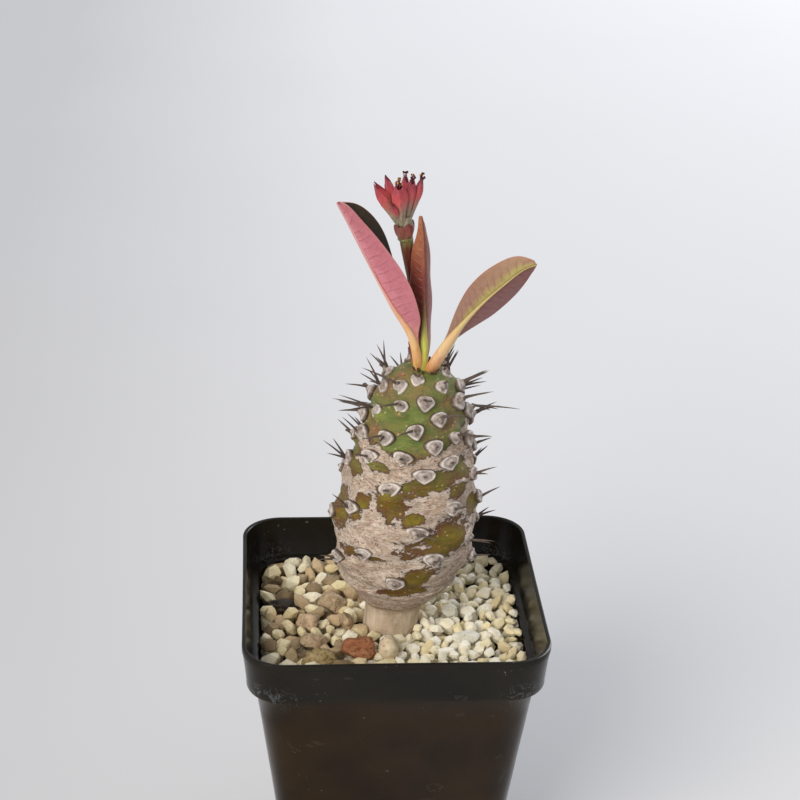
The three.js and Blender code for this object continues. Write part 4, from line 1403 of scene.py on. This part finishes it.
def studio_card(name, low, high):
    """Matt painted card, with the faintest mottle, and painted shade that makes it a little darker towards
    the left.
    """
    material, shader, place, add = new_material(name, Roughness=0.9)
    cloud = add("TexNoise", {"Vector": place, "Scale": per_mm(160)})
    across = add("SeparateXYZ", {0: place}, output="X")
    # Painted shade: the card's colour is made darker towards the left.
    shade = add("MapRange", {0: across, 1: -0.14, 2: 0.02, 3: 0.0, 4: 0.8})
    tone = add("Math", {0: cloud, 1: 0.2, 2: shade}, operation="MULTIPLY_ADD")
    tone = add("ValToRGB", {0: tone}, [(0.1, low), (0.9, high)])
    wire(shader, {"Base Color": tone})
    return material


# ------------------------------------------------------------------ build
POT = pot_plastic()
SKIN = stem_skin()
HORN = spine_horn()
THORN = thorn_horn("young_spine", "#3a302b", "#1f1917", "#100d0c")
THORN_PALE = thorn_horn("weathered_spine", "#8d837b", "#6f665f", "#3c3531")
THORN_STUB = thorn_horn("shrivelled_stipule", "#6a5540", "#4a382c", "#2c211b")
PUMICE = pumice()

finish_piece(model_pot(), "nursery_pot", [POT], ["pot"])
stem = model_stem()
model_shields(stem, HORN, THORN, THORN_PALE)
model_crown_stubs(THORN_STUB)
finish_piece(stem, "stem_body", [SKIN], ["stem"])

PINK = ["#ddb890", "#cc8890", "#c87c88", "#c27680"]
OLIVE = ["#8a7a3a", "#30280f", "#2a210c", "#38290f"]
RUST = ["#c9904e", "#84382c", "#98483e", "#bc7850"]
MAROON = ["#c8a050", "#983e32", "#923c30", "#a8623c"]
TAN = ["#e2c49a", "#ac8870", "#a67c6a", "#b08c6a"]
# Painted shade: darker, pinker colours for the right leaf's far half, which folds down away from the light.
SHADED_HALF_MAUVE = ["#e2c49a", "#a87068", "#9c6864", "#945e58"]
BUD = ["#9a7a44", "#8e4e46", "#8a4a44", "#7a3a34"]
model_leaf("left_leaf", LEAVES["left_leaf"], [
    leaf_face("leaf_underside_pink", PINK, PINK, "#d896a0", "#c08078", "#a8566a", 0.26, 0.45),
    leaf_face("leaf_face_dark_olive", OLIVE, OLIVE, "#3c3a1a", "#4a3222", "#4a4220", 0.3, 0.5),
    leaf_midrib("leaf_stalk_peach", "#e0b670", "#e6c68c", "#e0b4a0", "#dc98a0"),
])
model_leaf("middle_leaf", LEAVES["middle_leaf"], [
    leaf_face("leaf_underside_rust", MAROON, RUST, "#8e4c40", "#b4605a", "#702e28", 0.65, 0.42),
    leaf_face("leaf_face_maroon", MAROON, RUST, "#8e4c40", "#b4605a", "#6e3430", 0.4, 0.4),
    leaf_midrib("leaf_stalk_lime", "#c4bd5a", "#cfd46a", "#9a6a44", "#8a5038"),
])
# The far half of this leaf takes the mauve painted shade.
model_leaf("right_leaf", LEAVES["right_leaf"], [
    leaf_face("leaf_underside_tan", TAN, SHADED_HALF_MAUVE, "#c2bb68", "#b0624c", "#7a5048", 0.42, 0.4),
    leaf_face("leaf_face_tan", TAN, SHADED_HALF_MAUVE, "#c2bb68", "#b0624c", "#7a5048", 0.42, 0.4),
    leaf_midrib("leaf_stalk_orange", "#dca468", "#e6c89c", "#d4c288", "#c2b870"),
])
model_leaf("bud_leaf", LEAVES["bud_leaf"], [
    leaf_face("bud_underside", BUD, BUD, "#8a4a44", "#6a3028", "#6a3036", 0.3, 0.45),
    leaf_face("bud_face", BUD, BUD, "#7a5038", "#6a3028", "#6a3036", 0.3, 0.45),
    leaf_midrib("bud_rib", "#9a7a44", "#a87a50", "#8a4a44", "#7a3a34"),
])

model_flower(
    fleshy("flower_stalk_skin", [
        (0.0, "#a8863e"), (0.12, "#a24a28"), (0.5, "#983a20"), (0.9, "#8c4428"), (1.0, "#98904e")], 0.4, 1.2),
    fleshy("flower_collar_skin", [
        (0.0, "#a8845c"), (0.35, "#b46a58"), (0.7, "#a8564a"), (1.0, "#843a34")], 0.5, 0.6),
    fleshy("flower_bract_skin", [
        (0.0, "#b0aa88"), (0.24, "#c8b49a"), (0.42, "#cf9e8e"), (0.58, "#dc7a76"), (0.74, "#d45e68"),
        (0.88, "#c04a5a"), (1.0, "#702836")], 0.5, 0.8, 0.12),
    fleshy("stamen_thread", [(0.0, "#a02a30"), (1.0, "#8a1c24")], 0.5, 0.4),
    fleshy("anther", [(0.0, "#5a1216"), (1.0, "#3c0c10")], 0.5, 0.3),
    fleshy("anther_pollen", [(0.0, "#d9bc6a"), (1.0, "#e6d69a")], 0.8, 0.2),
)

model_gravel(PUMICE)
# A stone's three mineral colours, its pits' colour, their spacing in mm and how much they show.
MINERALS = {
    "potting_mix": ("#2a211a", "#3d3026", "#54443a", "#1c1510", 1.6, 0.8),
    "tan_pumice": ("#a58c6c", "#c4ad8a", "#dccaa8", "#80684a", 1.1, 0.6),
    "white_pumice": ("#cfcbbb", "#dedbcf", "#eceae2", "#b3ab94", 0.9, 0.35),
    "red_lava": ("#8e5436", "#ae6e48", "#c68c64", "#6a3c28", 0.9, 0.8),
    "smooth_pebble": ("#cbb798", "#dacbb0", "#eae0cc", "#b89c78", 1.4, 0.3),
    "bark_chip": ("#1c150f", "#33271a", "#5e4a34", "#120d0a", 1.2, 0.8),
    "crusted_pumice": ("#846c40", "#b09866", "#d2c092", "#5c4628", 0.9, 0.9),
}
STONE_SKINS = {name: stone(name, *look) for name, look in MINERALS.items()}
model_soil(STONE_SKINS["potting_mix"])

for name, (mineral, slot, cuts, rough, seed) in LOOSE_STONES.items():
    model_stone(name, STONE_SKINS[mineral], cuts, rough, seed)

# ------------------------------------------------------------------ studio
bpy.ops.object.select_all(action="DESELECT")
bpy.ops.mesh.primitive_circle_add(vertices=96, radius=6.0, fill_type="NGON", location=(0, 0, 0))
floor = bpy.context.object
floor.name = "floor"
floor.data.materials.append(studio_card("pale_floor", "#b9b9ba", "#cececf"))

world = bpy.data.worlds.new("studio")
bpy.context.scene.world = world
world.use_nodes = True
world.node_tree.nodes["Background"].inputs["Color"].default_value = hex_colour("#eceef2")
world.node_tree.nodes["Background"].inputs["Strength"].default_value = 0.6


def add_softbox(name, place, aim, size, power, colour):
    """A square soft light, shining from place to aim."""
    lamp = bpy.data.lights.new(name, "AREA")
    lamp.shape = "SQUARE"
    lamp.size = size
    lamp.energy = power
    lamp.color = hex_colour(colour)[:3]
    obj = bpy.data.objects.new(name, lamp)
    obj.location = place
    obj.rotation_euler = (Vector(aim) - Vector(place)).to_track_quat("-Z", "Y").to_euler()
    bpy.context.collection.objects.link(obj)


add_softbox("key", (-1.0, -1.3, 1.0), (0, 0, 0.1), 1.1, 32.0, "#fffaf2")
add_softbox("back", (0.95, 1.2, 1.1), (0.5, 0.9, 0.0), 0.8, 21.0, "#f6f8ff")

camera = bpy.data.objects.new("camera", bpy.data.cameras.new("camera"))
bpy.context.collection.objects.link(camera)
bpy.context.scene.camera = camera
camera.data.lens = 93.43
camera.data.sensor_width = 36
camera.data.clip_start = 0.02
camera.location = (-0.03018, -0.42557, 0.32243)
look = Vector((0.0666, 0.9046, -0.4210))
roll = math.radians(1.42)
camera.rotation_euler = (look.to_track_quat("-Z", "Y") @ Quaternion((0, 0, 1), roll)).to_euler()

bpy.context.scene.view_settings.view_transform = "Standard"
